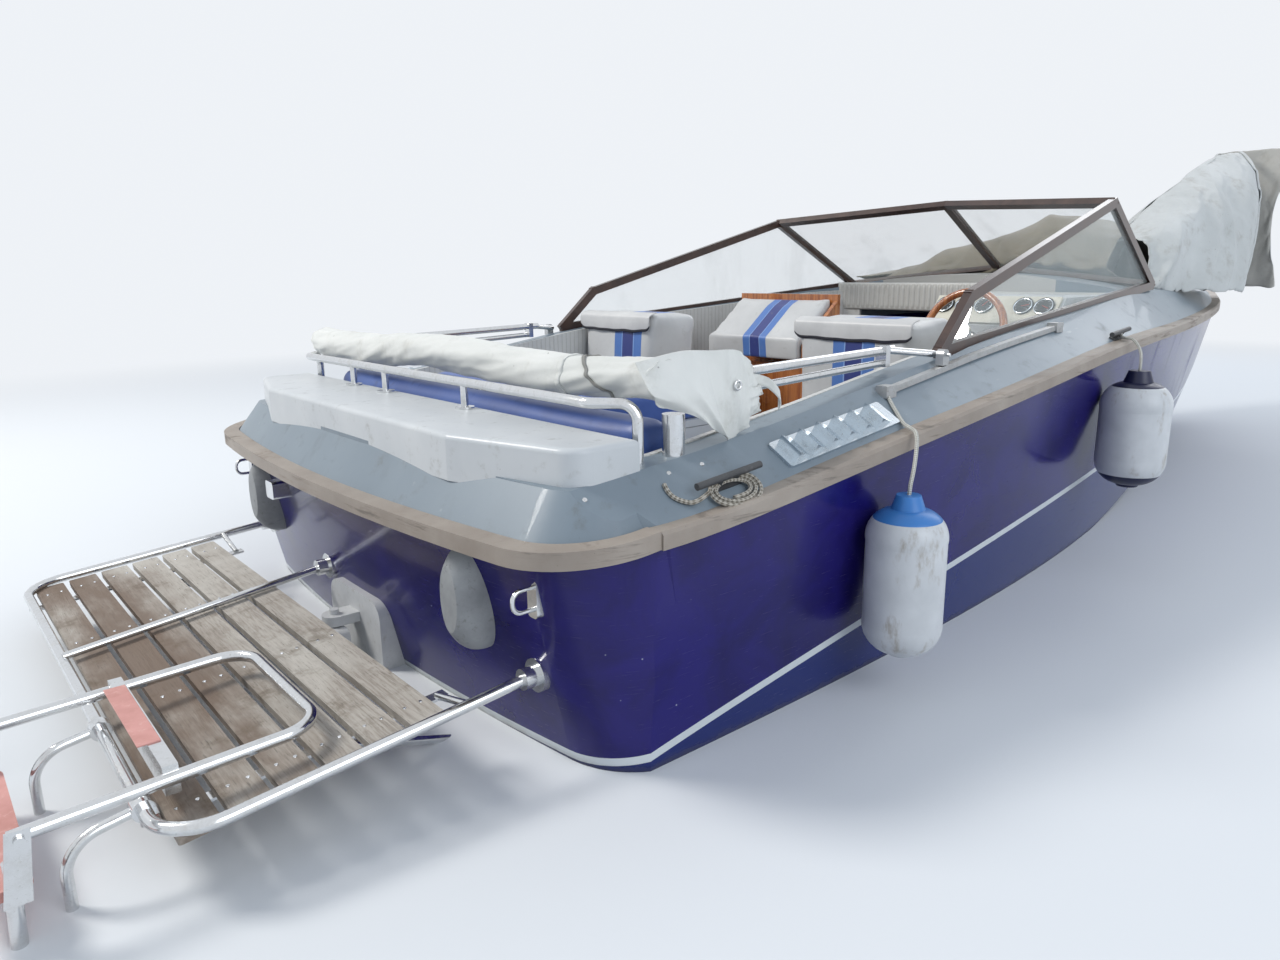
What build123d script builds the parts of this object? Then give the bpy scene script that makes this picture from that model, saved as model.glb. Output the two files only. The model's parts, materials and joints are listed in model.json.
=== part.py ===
# Speedboat with an open cockpit, a sterndrive, a bathing platform and a folding hood.
# Millimetres. +X runs to the bow, +Y to port and +Z up. The origin is on the
# waterline, on the centreline, where the transom crosses it.
import os
from math import atan2, cos, degrees, pi, radians, sin, tan

from build123d import *

os.makedirs("parts", exist_ok=True)

# Hull and deck: driving sizes
hull_length = 6500
half_beam = 1100
keel_depth = 360
transom_aft = 35
transom_rake = 12
stern_bulge = 75
stern_half_width = 1052
stern_corner = 205
stern_margin = 500
deck_flange = 33
deck_slope = 34.5
sheer_gap = 1
stern_sheer = 497
deck_band = 128
rail_height = 38
rail_thickness = 22
rail_edge = 7
rail_bedding = 12

# Stations of the hull. Columns: place along the length, keel height, chine half
# breadth and height, knuckle half breadth and height, sheer half breadth and
# height, coaming half breadth and height, and height of the deck on the centreline.
# Half breadths are shares of half_beam, heights are millimetres.
stations = [
    (-0.0246, -355, 0.918, -62, 0.936, 190, 0.940, 498, 0.836, 614, 628),
    (0.1230, -keel_depth, 0.925, -56, 0.955, 230, 0.988, 601, 0.843, 702, 722),
    (0.2460, -keel_depth, 0.900, -46, 0.940, 270, 1.000, 701, 0.843, 820, 848),
    (0.3690, -355, 0.835, -22, 0.885, 310, 0.958, 773, 0.795, 884, 940),
    (0.4920, -338, 0.725, 32, 0.785, 355, 0.860, 795, 0.722, 938, 1018),
    (0.6300, -285, 0.560, 118, 0.625, 410, 0.698, 807, 0.590, 912, 985),
    (0.7690, -125, 0.360, 245, 0.420, 480, 0.485, 817, 0.400, 888, 928),
    (0.8920, 175, 0.170, 410, 0.205, 580, 0.250, 829, 0.195, 872, 888),
    (0.9750, 560, 0.050, 640, 0.060, 720, 0.078, 839, 0.056, 858, 862),
    (1.0000, 730, 0.016, 762, 0.018, 785, 0.022, 842, 0.016, 851, 853),
]

section_count = 14

# Cockpit and cabin
well_aft = 300
well_forward = 3150
well_half_aft = 862
well_half_forward = 730
well_corner = 90
well_shoulder = 1900
sole_height = 30
sole_thickness = 18
liner_thickness = 16
liner_clearance = 1
liner_rise = 4
cabin_length = 1300
cabin_half_aft = 600
cabin_half_forward = 300
cabin_floor = 110
cabin_head = 880
bulkhead_thickness = 30
doorway_width = 700
doorway_side = 230

# Engine bay
bay_aft = 330
bay_forward = 880
bay_half = 320
bay_floor = -200
engine_length = 500
engine_width = 520
engine_height = 640
engine_corner = 40

# Aft bench and engine hatch
shelf_forward = 472
shelf_height = 598
box_half = 450
box_forward = 985
bench_wall = 20
side_seat_height = 380
pad_thickness = 85
hatch_gap = 6
hatch_board = 20
hatch_pad = 98
hatch_length = 500

# Seats
seat_back_aft = 1690
seat_back_forward = 1940
helm_inner = 185
helm_outer = 675
seat_top = 866
squab_top = 500
squab_forward = 2310
seat_base_height = 395
port_back_aft = 1480
port_back_forward = 1725
port_inner = 385
port_outer = 835
port_squab_aft = 1130
port_squab_top = 470
soft_corner = 26
pad_gap = 1

# Reclined lounge seat with its wooden frame
lounge_aft = 1985
lounge_forward = 2190
lounge_low = 15
lounge_high = 560
lounge_board = 18
lounge_top = 944
lounge_fold = 775
lounge_fold_drop = 100
lounge_pad = 58

# Dash and steering
dash_aft = 2620
dash_inner = 140
dash_outer = 700
dash_low = 812
dash_high = 925
dash_foot = 640
dash_run = 95
dash_plate = 12
gauge_radius = 40
gauge_height = 9
wheel_x = 2420
wheel_y = 430
wheel_z = 795
wheel_radius = 168
wheel_rim = 15
wheel_tilt = 20
hub_radius = 34
shaft_radius = 10
shaft_clearance = 0.05
column_radius = 24
column_reach = 70

# Windshield
frame_width = 34
frame_depth = 26
glass_thickness = 5
wing_foot = Vector(1425, 926, 812)
wing_head = Vector(1594, 914, 965)
corner_head = Vector(2748, 826, 1279)
centre_head = Vector(2962, 0, 1327)
centre_foot = Vector(3480, 0, 1040)
corner_foot_height = 962

# Aft box, stern rail and hood
aft_box_low = 600
aft_box_top = 706
aft_box_aft = 22
aft_box_straight = 570
aft_box_shoulder = 118
aft_box_half = 922
aft_box_forward = 288
aft_box_corner = 62
aft_box_edge = 13
rail_x = 245
rail_z = 775
rail_turn = 800
rail_end_x = 315
rail_half = 885
rail_bend = 40
rail_posts = (430, 200, -270)
socket_place = (412, 893)
socket_width = 52
socket_height = 92
track_aft = 1110
track_forward = 2120
track_share = 0.78
track_lift = 8
track_width = 22
track_height = 16
track_spans = 5
hood_pivot = Vector(1380, 965, 811)
pivot_inset = 26
car_width = 24
car_radius = 15
pin_radius = 5
arm_joint = Vector(1232, 879, 828)
bow_x = 360
bow_z = 808
bow_bend = 90
second_bow_drop = 34
second_bow_end = 640
roll_half = 900
roll_port_half = 960
roll_z = 818
roll_port_x = 375
roll_starboard_x = 380
roll_radius = 62
flap_inner = 868
flap_thickness = 56
flap_outline = [(360, 860), (560, 878), (650, 800), (595, 712), (545, 712), (480, 770), (380, 780)]

# Bathing platform. Flanges on the transom: half breadth, height, radius and sides.
platform_flanges = [(825, 205, 38, (1, -1)), (210, 205, 38, (1,)), (557, -60, 34, (1, -1))]
flange_lip = 9
flange_reach = 42
platform_fore = 50
platform_fore_z = 205
platform_aft = -675
platform_aft_z = 140
platform_aft_half = 830
platform_bend = 105
bearer_y = 690
bearer_fore = -80
bearer_width = 30
bearer_depth = 6
middle_tube_end = 130
middle_tube_rise = 12
strut_end_x = -350
slat_count = 6
slat_first = -172
slat_pitch = 88
slat_width = 73
slat_thickness = 20
slat_half = 805
slat_drop = 8

# Boarding ladder
ladder_middle = -497
ladder_width = 455
ladder_pivot_x = -856
ladder_pivot_z = 190
ladder_loop_x = -360
ladder_loop_z = 208
ladder_loop_bend = 75
ladder_leg_x = -872
ladder_leg_top = 150
ladder_leg_low = -330
ladder_stay_x = -800
ladder_stay_low = -105
ladder_stay_bend = 70
arm_inset = 42
cheek_offset = 16
cheek_thickness = 5
tread_width = 100
tread_thickness = 18
upper_tread_x = -630
upper_tread_height = 56
# Lower treads: height and how far the tread stands forward of the legs' aft side
ladder_lower_treads = ((85, 30), (-165, 40))

# Sterndrive
plate_low = -150
plate_high = 190
plate_width = 330
plate_proud = 22
steer_x = -50
tilt_x = -112
tilt_z = 15
swivel_radius = 13
lug_offset = 105
lug_thickness = 28
lug_radius = 34
ear_offset = 62
ear_thickness = 16
ear_radius = 30
housing_aft = -330
housing_top = 80
leg_low = -470
leg_chord = 190
leg_thickness = 66
plate_drop = -330
torpedo_z = -520
torpedo_radius = 56
torpedo_fore = -130
torpedo_aft = -395
skeg_low = -690
propeller_radius = 168
propeller_hub = 38
propeller_length = 88
blade_count = 3
blade_pitch = 28
prop_shaft = 12

# Deck and transom fittings
vent_x = 845
vent_share = 0.5
vent_length = 415
vent_height = 84
vent_base = 8
louvre_count = 6
louvre_rise = 32
# Cleats: place along the boat and share up the side deck
cleat_places = ((455, 0.4), (2430, 0.22))
cleat_length = 190
cleat_base = 90
cleat_width = 26
cleat_height = 30
light_y = 415
light_z = 415
shell_y = 650
shell_low = 230
shell_high = 478
shell_width = 118
shell_depth = 62
eye_y = 878
eye_z = 404
eye_radius = 24
eye_rod = 5

# Mooring cover bundled on the foredeck
heap_low = 890
# Heap sections across the boat: half breadth, aft end, forward end, top height
heap_sections = [
    (790, 3400, 3620, 1045),
    (420, 3560, 4300, 1200),
    (0, 3600, 4500, 1290),
    (-330, 3600, 4600, 1300),
]
# Bundle sections along the boat: place, middle half breadth, half width, low and high
bundle_sections = [
    (3620, -470, 200, 892, 1180),
    (4250, -450, 290, 888, 1430),
    (5000, -430, 330, 876, 1620),
    (5650, -440, 280, 870, 1730),
]

# Fenders: place along the boat, distance off the centreline, radius, low and high
fenders = {
    "fender_aft": (925, 1170, 97, 110, 520),
    "fender_fore": (2316, 1146, 110, 305, 703),
}
lanyard = 10
# Routes of the lanyards on the starboard side, chosen by hand. Columns: place along the
# boat, half breadth and height, from the tie on deck to the fender's neck.
lanyard_routes = {
    "lanyard_aft": [
        (1110, 967, 733),
        (1088, 997, 709),
        (1070, 1030, 687),
        (1053, 1062, 663),
        (1034, 1092, 661),
        (1010, 1130, 656),
        (985, 1146, 612),
        (950, 1163, 570),
        (927, 1170, 540),
        (925, 1170, 505),
    ],
    "lanyard_fore": [
        (2430, 1027, 821),
        (2418, 1036, 803),
        (2403, 1056, 803),
        (2386, 1090, 802),
        (2346, 1132, 768),
        (2319, 1146, 727),
        (2316, 1146, 690),
    ],
}

# Cutting margins, larger than the boat
wide_cut = 2000
deep_cut = 1400

# Steel tube
tube = 25
thin_tube = 20
link_tube = 16
tube_gap = 0.5


def station_x(share):
    return share * hull_length


def section_points(row, grow):
    """Half section from keel to coaming, with the topsides moved out by grow."""
    keel_z, chine_y, chine_z, knuckle_y, knuckle_z, sheer_y, sheer_z, coaming_y, coaming_z, crown_z = row[1:]
    return [
        (0, keel_z),
        (chine_y * half_beam + grow, chine_z),
        (knuckle_y * half_beam + grow, knuckle_z),
        (sheer_y * half_beam + grow, sheer_z),
        (coaming_y * half_beam + grow, coaming_z),
        (0, crown_z),
    ]


def interpolate(column, x):
    """A column of the station table at a place along the boat, by a cubic through four rows."""
    share = x / hull_length
    before = len([row for row in stations if row[0] <= share])
    first = min(max(before - 2, 0), len(stations) - 4)
    rows = stations[first:first + 4]
    value = 0
    for row in rows:
        weight = 1
        for other in rows:
            if other is not row:
                weight *= (share - other[0]) / (row[0] - other[0])
        value += weight * row[column]
    return value


def sheer_z(x):
    return interpolate(7, x)


def sheer_y(x):
    return interpolate(6, x) * half_beam


def coaming_y(x):
    return interpolate(8, x) * half_beam


def coaming_z(x):
    return interpolate(9, x)


def slope_point(x, share, lift):
    """A point on the sloping side deck: share 0 at the sheer and 1 at the coaming."""
    y = sheer_y(x) + share * (coaming_y(x) - sheer_y(x))
    z = sheer_z(x) + share * (coaming_z(x) - sheer_z(x))
    return Vector(x, y, z + lift)


def slope_plane(x, share, side, lift=0):
    """Plane on the side deck: local x runs forward, local y up the slope."""
    here = slope_point(x, share, lift)
    ahead = slope_point(x + 50, share, lift)
    across = slope_point(x, share + 0.3, lift)
    forward = Vector(ahead.X - here.X, side * (ahead.Y - here.Y), ahead.Z - here.Z)
    up_slope = Vector(0, side * (across.Y - here.Y), across.Z - here.Z)
    normal = forward.cross(up_slope)
    if normal.Z < 0:
        normal = normal * -1
    return Plane(origin=(here.X, side * here.Y, here.Z), x_dir=forward, z_dir=normal)


def stern_outline(aft, half, radius):
    """Plan outline of the stern: a bowed transom with round corners, open forward."""
    side = aft + stern_bulge
    straight_end = side + radius
    flare_end = straight_end + stern_margin
    forward = hull_length + stern_margin
    wide = half + stern_margin
    with BuildSketch(mode=Mode.PRIVATE) as outline:
        with BuildLine():
            ThreePointArc((side, half), (aft, 0), (side, -half))
            Polyline(
                (side, -half), (straight_end, -half), (flare_end, -wide), (forward, -wide),
                (forward, wide), (flare_end, wide), (straight_end, half), (side, half),
            )
        make_face()
        fillet(outline.vertices().sort_by(Axis.X)[:2], radius)
    return outline.sketch


def straight_tube(start, finish, diameter):
    """Adds a straight round bar to the part that is being built."""
    start = Vector(start)
    finish = Vector(finish)
    with BuildSketch(Plane(origin=start, z_dir=finish - start)) as ring:
        Circle(diameter / 2)
    extrude(ring.sketch, amount=(finish - start).length)


def bent_tube(points, bend, diameter):
    """Adds a round tube along straight runs joined by arcs; bend is one radius or one for each."""
    with BuildLine() as route:
        FilletPolyline(*points, radius=bend)
    with BuildSketch(Plane(origin=route.line @ 0, z_dir=route.line % 0)) as ring:
        Circle(diameter / 2)
    sweep(ring.sketch, path=route.line)


def square_bar(start, finish, width, depth, facing):
    """Adds a bar of rectangular section; facing is the way its width runs."""
    start = Vector(start)
    finish = Vector(finish)
    with BuildSketch(Plane(origin=start, x_dir=facing, z_dir=finish - start)) as section:
        Rectangle(width, depth)
    extrude(section.sketch, amount=(finish - start).length)


def mirrored(point):
    return Vector(point.X, -point.Y, point.Z)


def save(built, name):
    built.part.label = name
    export_step(built.part, f"parts/{name}.step")


# Envelope of hull and deck, lofted through the stations
def even_stations():
    """The station table at even steps along the boat, which keep the loft from waving."""
    first = stations[0][0]
    step = (stations[-1][0] - first) / (section_count - 1)
    places = [first + step * index for index in range(section_count)]
    columns = range(1, len(stations[0]))
    return [[share] + [interpolate(column, station_x(share)) for column in columns] for share in places]


def loft_envelope(grow):
    sections = []
    for row in even_stations():
        half = section_points(row, grow)
        coaming = half[-2]
        with BuildSketch(Plane.YZ.offset(station_x(row[0]))) as section:
            with BuildLine():
                Polyline(*half[:-1])
                Polyline(*[(-y, z) for y, z in half[:-1]])
                ThreePointArc(coaming, half[-1], (-coaming[0], coaming[1]))
            make_face()
        sections.append(section.sketch)
    loft(sections)


def below_line(drop):
    """Side view of everything under the sheer, lowered by drop."""
    line = [(station_x(row[0]), row[7] - drop) for row in even_stations()]
    with BuildSketch(Plane.XZ.offset(-wide_cut)) as region:
        with BuildLine():
            Polyline(
                *line, (hull_length + stern_margin, line[-1][1]), (hull_length + stern_margin, -deep_cut),
                (line[0][0] - stern_margin, -deep_cut), (line[0][0] - stern_margin, line[0][1]), line[0],
            )
        make_face()
    return region.sketch


def well_outline(inset):
    """Plan outline of the cockpit well, narrowing forward."""
    with BuildSketch(mode=Mode.PRIVATE) as outline:
        with BuildLine():
            Polyline(
                (well_aft + inset, well_half_aft - inset),
                (well_shoulder, well_half_aft - inset),
                (well_forward - inset, well_half_forward - inset),
                (well_forward - inset, inset - well_half_forward),
                (well_shoulder, inset - well_half_aft),
                (well_aft + inset, inset - well_half_aft),
                close=True,
            )
        make_face()
        aft_corners = outline.vertices().group_by(Axis.X)[0]
        front_corners = outline.vertices().group_by(Axis.X)[-1]
        fillet(aft_corners + front_corners, well_corner - inset)
    return outline.sketch


def at_height(sketch, z):
    return Plane.XY.offset(z) * sketch


def transom_x(y, z):
    """Place of the transom's face along the boat, at a height and half breadth."""
    return rake_run * (stern_sheer - z) - transom_aft + stern_bulge * (y / stern_half_width) ** 2


# The moulded envelope, which the hull, the deck and the rubbing strake share
with BuildPart() as envelope:
    loft_envelope(0)

# Hull: everything under the sheer, with the raked transom, the well and the cabin cut in
rake_run = tan(radians(transom_rake))
deck_top = 1100
cabin_aft = well_forward + bulkhead_thickness


def cut_cabin(floor, head):
    """Cuts the cabin's hollow and its doorway between two heights."""
    with BuildSketch(Plane.XY.offset(floor)) as plan:
        with BuildLine():
            Polyline(
                (cabin_aft, cabin_half_aft),
                (cabin_aft + cabin_length, cabin_half_forward),
                (cabin_aft + cabin_length, -cabin_half_forward),
                (cabin_aft, -cabin_half_aft),
                close=True,
            )
        make_face()
        with Locations((well_forward + bulkhead_thickness / 2, doorway_side)):
            Rectangle(3 * bulkhead_thickness, doorway_width)
    extrude(plan.sketch, amount=head - floor, mode=Mode.SUBTRACT)


with BuildPart() as hull:
    add(envelope.part)
    extrude(below_line(sheer_gap), amount=2 * wide_cut, mode=Mode.INTERSECT)
    transom_top = rake_run * (stern_sheer - deck_top) - transom_aft
    extrude(
        at_height(stern_outline(transom_top, stern_half_width, stern_corner), deck_top),
        amount=2 * deep_cut,
        dir=(rake_run, 0, -1),
        mode=Mode.INTERSECT,
    )
    extrude(at_height(well_outline(0), sole_height - sole_thickness), amount=deep_cut, mode=Mode.SUBTRACT)
    cut_cabin(cabin_floor, deck_top)
    with BuildSketch(Plane.XY.offset(bay_floor)) as bay:
        with Locations(((bay_aft + bay_forward) / 2, 0)):
            Rectangle(bay_forward - bay_aft, 2 * bay_half)
    extrude(bay.sketch, amount=sole_height - bay_floor, mode=Mode.SUBTRACT)
save(hull, "hull")

# Deck moulding: the band above the sheer, with its sloping sides and crowned foredeck
flange_aft = -transom_aft - deck_flange
slope_run = tan(radians(deck_slope)) * deck_band
with BuildPart() as stern_cone:
    skirt = at_height(stern_outline(flange_aft, stern_half_width, stern_corner), stern_sheer - rail_height)
    extrude(skirt, amount=rail_height)
    brim = at_height(skirt, rail_height)
    top = at_height(
        stern_outline(flange_aft + slope_run, stern_half_width - slope_run, stern_corner - slope_run),
        stern_sheer + deck_band,
    )
    loft([brim, top])
    extrude(top, amount=deck_top - stern_sheer - deck_band)
with BuildPart() as deck:
    add(envelope.part)
    extrude(below_line(0), amount=2 * wide_cut, mode=Mode.SUBTRACT)
    add(stern_cone.part, mode=Mode.INTERSECT)
    extrude(at_height(well_outline(0), 0), amount=deep_cut, mode=Mode.SUBTRACT)
    cut_cabin(cabin_floor, cabin_head)
save(deck, "deck")

# Rubbing strake: a band round the stern and one along each side of the sheer
def strake_section(x, side):
    """Section of the side strake, its inner faces bedded a little way into the envelope."""
    y = sheer_y(x)
    z = sheer_z(x)
    half = rail_height / 2
    knuckle_y = interpolate(4, x) * half_beam
    knuckle_z = interpolate(5, x)
    under = y - half * (y - knuckle_y) / (z - knuckle_z)
    over = y - half * (y - coaming_y(x)) / (coaming_z(x) - z)
    outer = y + rail_thickness
    points = [
        (under - rail_bedding, z - half), (y - rail_bedding, z), (over - rail_bedding, z + half),
        (outer - rail_edge, z + half), (outer, z + half - rail_edge), (outer, z - half),
    ]
    with BuildSketch(Plane.YZ.offset(x)) as section:
        with BuildLine():
            Polyline(*[(side * point_y, point_z) for point_y, point_z in points], close=True)
        make_face()
    return section.sketch


rail_start = flange_aft + stern_bulge + stern_corner
with BuildPart() as rub_rail:
    rail_outline = stern_outline(
        flange_aft - rail_thickness, stern_half_width + rail_thickness, stern_corner + rail_thickness
    )
    inner_outline = stern_outline(
        flange_aft + rail_thickness, stern_half_width - rail_thickness, stern_corner - rail_thickness
    )
    extrude(at_height(rail_outline, 0), amount=deck_top)
    extrude(at_height(inner_outline, 0), amount=deck_top, mode=Mode.SUBTRACT)
    with BuildSketch(Plane.XY) as forward_part:
        with Locations((rail_start, 0)):
            Rectangle(2 * hull_length, 2 * wide_cut, align=(Align.MIN, Align.CENTER))
    extrude(forward_part.sketch, amount=deck_top, mode=Mode.SUBTRACT)
    extrude(below_line(-rail_height / 2), amount=2 * wide_cut, mode=Mode.INTERSECT)
    extrude(below_line(rail_height / 2), amount=2 * wide_cut, mode=Mode.SUBTRACT)
    add(deck.part, mode=Mode.SUBTRACT)
    add(hull.part, mode=Mode.SUBTRACT)
strake_places = [station_x(row[0]) for row in even_stations()]
strake_places = [rail_start + sheer_gap] + [
    place for place in strake_places if place > rail_start + stern_corner
]
with BuildPart() as side_strakes:
    for side in (1, -1):
        loft([strake_section(place, side) for place in strake_places])
    add(envelope.part, mode=Mode.SUBTRACT)
with BuildPart() as whole_rail:
    add(rub_rail.part)
    add(side_strakes.part)
save(whole_rail, "rub_rail")

# Cockpit liner: the moulded inner wall and the sole, with the doorway and the bay cut out
with BuildPart() as cockpit_liner:
    liner_base = sole_height - sole_thickness
    extrude(at_height(well_outline(liner_clearance), liner_base), amount=deck_top - liner_base)
    extrude(
        at_height(well_outline(liner_clearance + liner_thickness), sole_height),
        amount=deck_top,
        mode=Mode.SUBTRACT,
    )
    coaming_line = [(station_x(row[0]), row[9] + liner_rise) for row in even_stations()]
    with BuildSketch(Plane.XZ.offset(-wide_cut)) as above:
        with BuildLine():
            Polyline(*coaming_line, (hull_length, deep_cut), (coaming_line[0][0], deep_cut), close=True)
        make_face()
    extrude(above.sketch, amount=2 * wide_cut, mode=Mode.SUBTRACT)
    cut_cabin(cabin_floor, deck_top)
    with BuildSketch(Plane.XY.offset(liner_base)) as hatchway:
        with Locations(((bay_aft + bay_forward) / 2, 0)):
            Rectangle(bay_forward - bay_aft, 2 * bay_half)
    extrude(hatchway.sketch, amount=sole_thickness, mode=Mode.SUBTRACT)
save(cockpit_liner, "cockpit_liner")

# Engine, one plain block on the bay's floor
with BuildPart() as engine:
    with BuildSketch(Plane.XY.offset(bay_floor)):
        with Locations(((bay_aft + bay_forward) / 2, 0)):
            RectangleRounded(engine_length, engine_width, engine_corner)
    extrude(amount=engine_height)
    chamfer(engine.faces().sort_by(Axis.Z)[-1].edges(), engine_corner / 2)
save(engine, "engine")

# Aft bench: a full-width shelf, the box over the engine and a low seat on each side
bench_half = well_half_aft - 2 * liner_clearance - liner_thickness
bench_aft = well_aft + 2 * liner_clearance + liner_thickness
with BuildPart() as aft_bench:
    with BuildSketch(Plane.XY.offset(sole_height)):
        with Locations(((bench_aft + shelf_forward) / 2, 0)):
            RectangleRounded(shelf_forward - bench_aft, 2 * bench_half, well_corner - liner_thickness)
        with Locations(((bench_aft + shelf_forward) / 2 + well_corner / 2, 0)):
            Rectangle(shelf_forward - bench_aft - well_corner, 2 * bench_half)
        with Locations(((shelf_forward + box_forward) / 2, 0)):
            Rectangle(box_forward - shelf_forward, 2 * box_half)
    extrude(amount=shelf_height - sole_height)
    with BuildSketch(Plane.XY.offset(sole_height)):
        with Locations(((shelf_forward + box_forward) / 2, 0)):
            Rectangle(box_forward - shelf_forward, 2 * bench_half)
    extrude(amount=side_seat_height - sole_height)
    with BuildSketch(Plane.XY.offset(sole_height)):
        with Locations(((bay_aft + box_forward - bench_wall) / 2, 0)):
            Rectangle(box_forward - bench_wall - bay_aft, 2 * (box_half - bench_wall))
    extrude(amount=shelf_height - sole_height - bench_wall, mode=Mode.SUBTRACT)
    with BuildSketch(Plane.XY.offset(sole_height)):
        with Locations(((shelf_forward + bench_wall + box_forward - bench_wall) / 2, 0)):
            Rectangle(box_forward - shelf_forward - 2 * bench_wall, 2 * (box_half - bench_wall))
    extrude(amount=shelf_height, mode=Mode.SUBTRACT)
save(aft_bench, "aft_bench")

# Pads on the shelf and on the two side seats
with BuildPart() as aft_pads:
    with BuildSketch(Plane.XY.offset(shelf_height + pad_gap)):
        with Locations(((bench_aft + well_corner / 2 + shelf_forward) / 2, 0)):
            Rectangle(shelf_forward - bench_aft - well_corner / 2, 2 * (bench_half - soft_corner))
    extrude(amount=hatch_board + hatch_pad)
    with BuildSketch(Plane.XY.offset(side_seat_height + pad_gap)):
        for side in (1, -1):
            with Locations(((shelf_forward + box_forward) / 2 + pad_gap, side * (box_half + bench_half) / 2)):
                Rectangle(box_forward - shelf_forward - 4 * pad_gap, bench_half - box_half - 4 * pad_gap)
    extrude(amount=pad_thickness)
    fillet(aft_pads.faces().filter_by(Axis.Z).group_by(Axis.Z)[-1].edges(), soft_corner)
save(aft_pads, "aft_pads")

# Engine hatch: a board with a pad, hinged at the pad's upper aft edge
hatch_aft = shelf_forward + hatch_gap
with BuildPart() as engine_hatch:
    with BuildSketch(Plane.XY.offset(shelf_height + 2 * pad_gap)):
        with Locations((hatch_aft + hatch_length / 2, 0)):
            Rectangle(hatch_length, 2 * box_half)
    extrude(amount=hatch_board)
save(engine_hatch, "engine_hatch")
with BuildPart() as hatch_cushion:
    with BuildSketch(Plane.XY.offset(shelf_height + 2 * pad_gap + hatch_board)):
        with Locations((hatch_aft + hatch_length / 2, 0)):
            RectangleRounded(hatch_length, 2 * box_half, soft_corner)
    extrude(amount=hatch_pad)
    fillet(hatch_cushion.faces().sort_by(Axis.Z)[-1].edges(), soft_corner)
save(hatch_cushion, "hatch_cushion")


def side_profile_solid(points, low_y, high_y):
    """Adds a solid of one side-view outline between two half breadths."""
    with BuildSketch(Plane.XZ.offset(-high_y)) as outline:
        with BuildLine():
            Polyline(*points, close=True)
        make_face()
    extrude(outline.sketch, amount=high_y - low_y)


# Helm seat: back and squab in one cover, on a wooden box
with BuildPart() as helm_seat:
    side_profile_solid(
        [
            (seat_back_aft, seat_base_height + pad_gap),
            (seat_back_aft, seat_top),
            (seat_back_forward, seat_top + 8),
            (seat_back_forward + 20, squab_top),
            (squab_forward, squab_top),
            (squab_forward, seat_base_height + pad_gap),
        ],
        -helm_outer,
        -helm_inner,
    )
    fillet(helm_seat.edges(), soft_corner)
save(helm_seat, "helm_seat")
with BuildPart() as port_seat:
    side_profile_solid(
        [
            (port_squab_aft, seat_base_height + pad_gap),
            (port_squab_aft, port_squab_top),
            (port_back_aft - 15, port_squab_top),
            (port_back_aft, seat_top + 4),
            (port_back_forward, seat_top + 12),
            (port_back_forward, seat_base_height + pad_gap),
        ],
        port_inner,
        port_outer,
    )
    fillet(port_seat.edges(), soft_corner)
save(port_seat, "port_seat")
base_inset = 20
seat_bases = (
    (
        seat_back_aft + base_inset,
        squab_forward - base_inset,
        -helm_outer + base_inset,
        -helm_inner - base_inset,
    ),
    (
        port_squab_aft + base_inset,
        port_back_forward - base_inset,
        port_inner + base_inset,
        port_outer - base_inset,
    ),
)
with BuildPart() as seat_boxes:
    for low_x, high_x, low_y, high_y in seat_bases:
        side_profile_solid(
            [
                (low_x, sole_height),
                (low_x, seat_base_height),
                (high_x, seat_base_height),
                (high_x, sole_height),
            ],
            low_y,
            high_y,
        )
    chamfer(seat_boxes.edges().filter_by(Axis.Z), 6)
save(seat_boxes, "seat_boxes")

# Lounge seat: wooden back and cheek, a box below, and the folded pad on its slope
with BuildPart() as lounge_frame:
    side_profile_solid(
        [
            (lounge_forward, sole_height),
            (lounge_forward, lounge_top),
            (lounge_forward + lounge_board, lounge_top),
            (lounge_forward + lounge_board, sole_height),
        ],
        lounge_low,
        lounge_high,
    )
    side_profile_solid(
        [
            (lounge_aft, sole_height),
            (lounge_aft, lounge_fold - lounge_pad / 2),
            (lounge_forward, lounge_top - lounge_pad / 2),
            (lounge_forward, sole_height),
        ],
        lounge_low,
        lounge_low + lounge_board,
    )
    side_profile_solid(
        [
            (lounge_aft + lounge_pad / 2, sole_height),
            (lounge_aft + lounge_pad / 2, lounge_fold - 2 * lounge_pad),
            (lounge_forward, lounge_fold - 2 * lounge_pad),
            (lounge_forward, sole_height),
        ],
        lounge_low + lounge_board,
        lounge_high,
    )
save(lounge_frame, "lounge_frame")
with BuildPart() as lounge_cushion:
    side_profile_solid(
        [
            (lounge_forward - pad_gap, lounge_top - 8),
            (lounge_aft, lounge_fold),
            (lounge_aft - 24, lounge_fold - 14),
            (lounge_aft - 24, lounge_fold - lounge_fold_drop),
            (lounge_aft + lounge_pad / 2, lounge_fold - lounge_fold_drop),
            (lounge_aft + lounge_pad / 2, lounge_fold - lounge_pad),
            (lounge_forward - pad_gap, lounge_top - lounge_pad - 20),
        ],
        lounge_low + lounge_board + pad_gap,
        lounge_high - pad_gap,
    )
save(lounge_cushion, "lounge_cushion")

# Dash: a moulded console with a sloping cream plate, a wooden rim and round gauges
dash_forward = well_forward - 2 * liner_clearance - liner_thickness
dash_slope = Vector(dash_run, 0, dash_high - dash_low)
with BuildPart() as dashboard:
    side_profile_solid(
        [
            (dash_aft + dash_run / 3, dash_foot),
            (dash_aft, dash_low),
            (dash_aft + dash_run, dash_high),
            (dash_forward, dash_high),
            (dash_forward, dash_foot),
        ],
        -dash_outer,
        -dash_inner,
    )
    add(cockpit_liner.part, mode=Mode.SUBTRACT)
save(dashboard, "dashboard")
dash_middle = -(dash_outer + dash_inner) / 2
dash_plane = Plane(
    origin=(dash_aft + dash_run / 2, dash_middle, (dash_low + dash_high) / 2),
    x_dir=(0, -1, 0),
    z_dir=Vector(0, -1, 0).cross(dash_slope),
)
plate_length = dash_outer - dash_inner - 20
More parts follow.
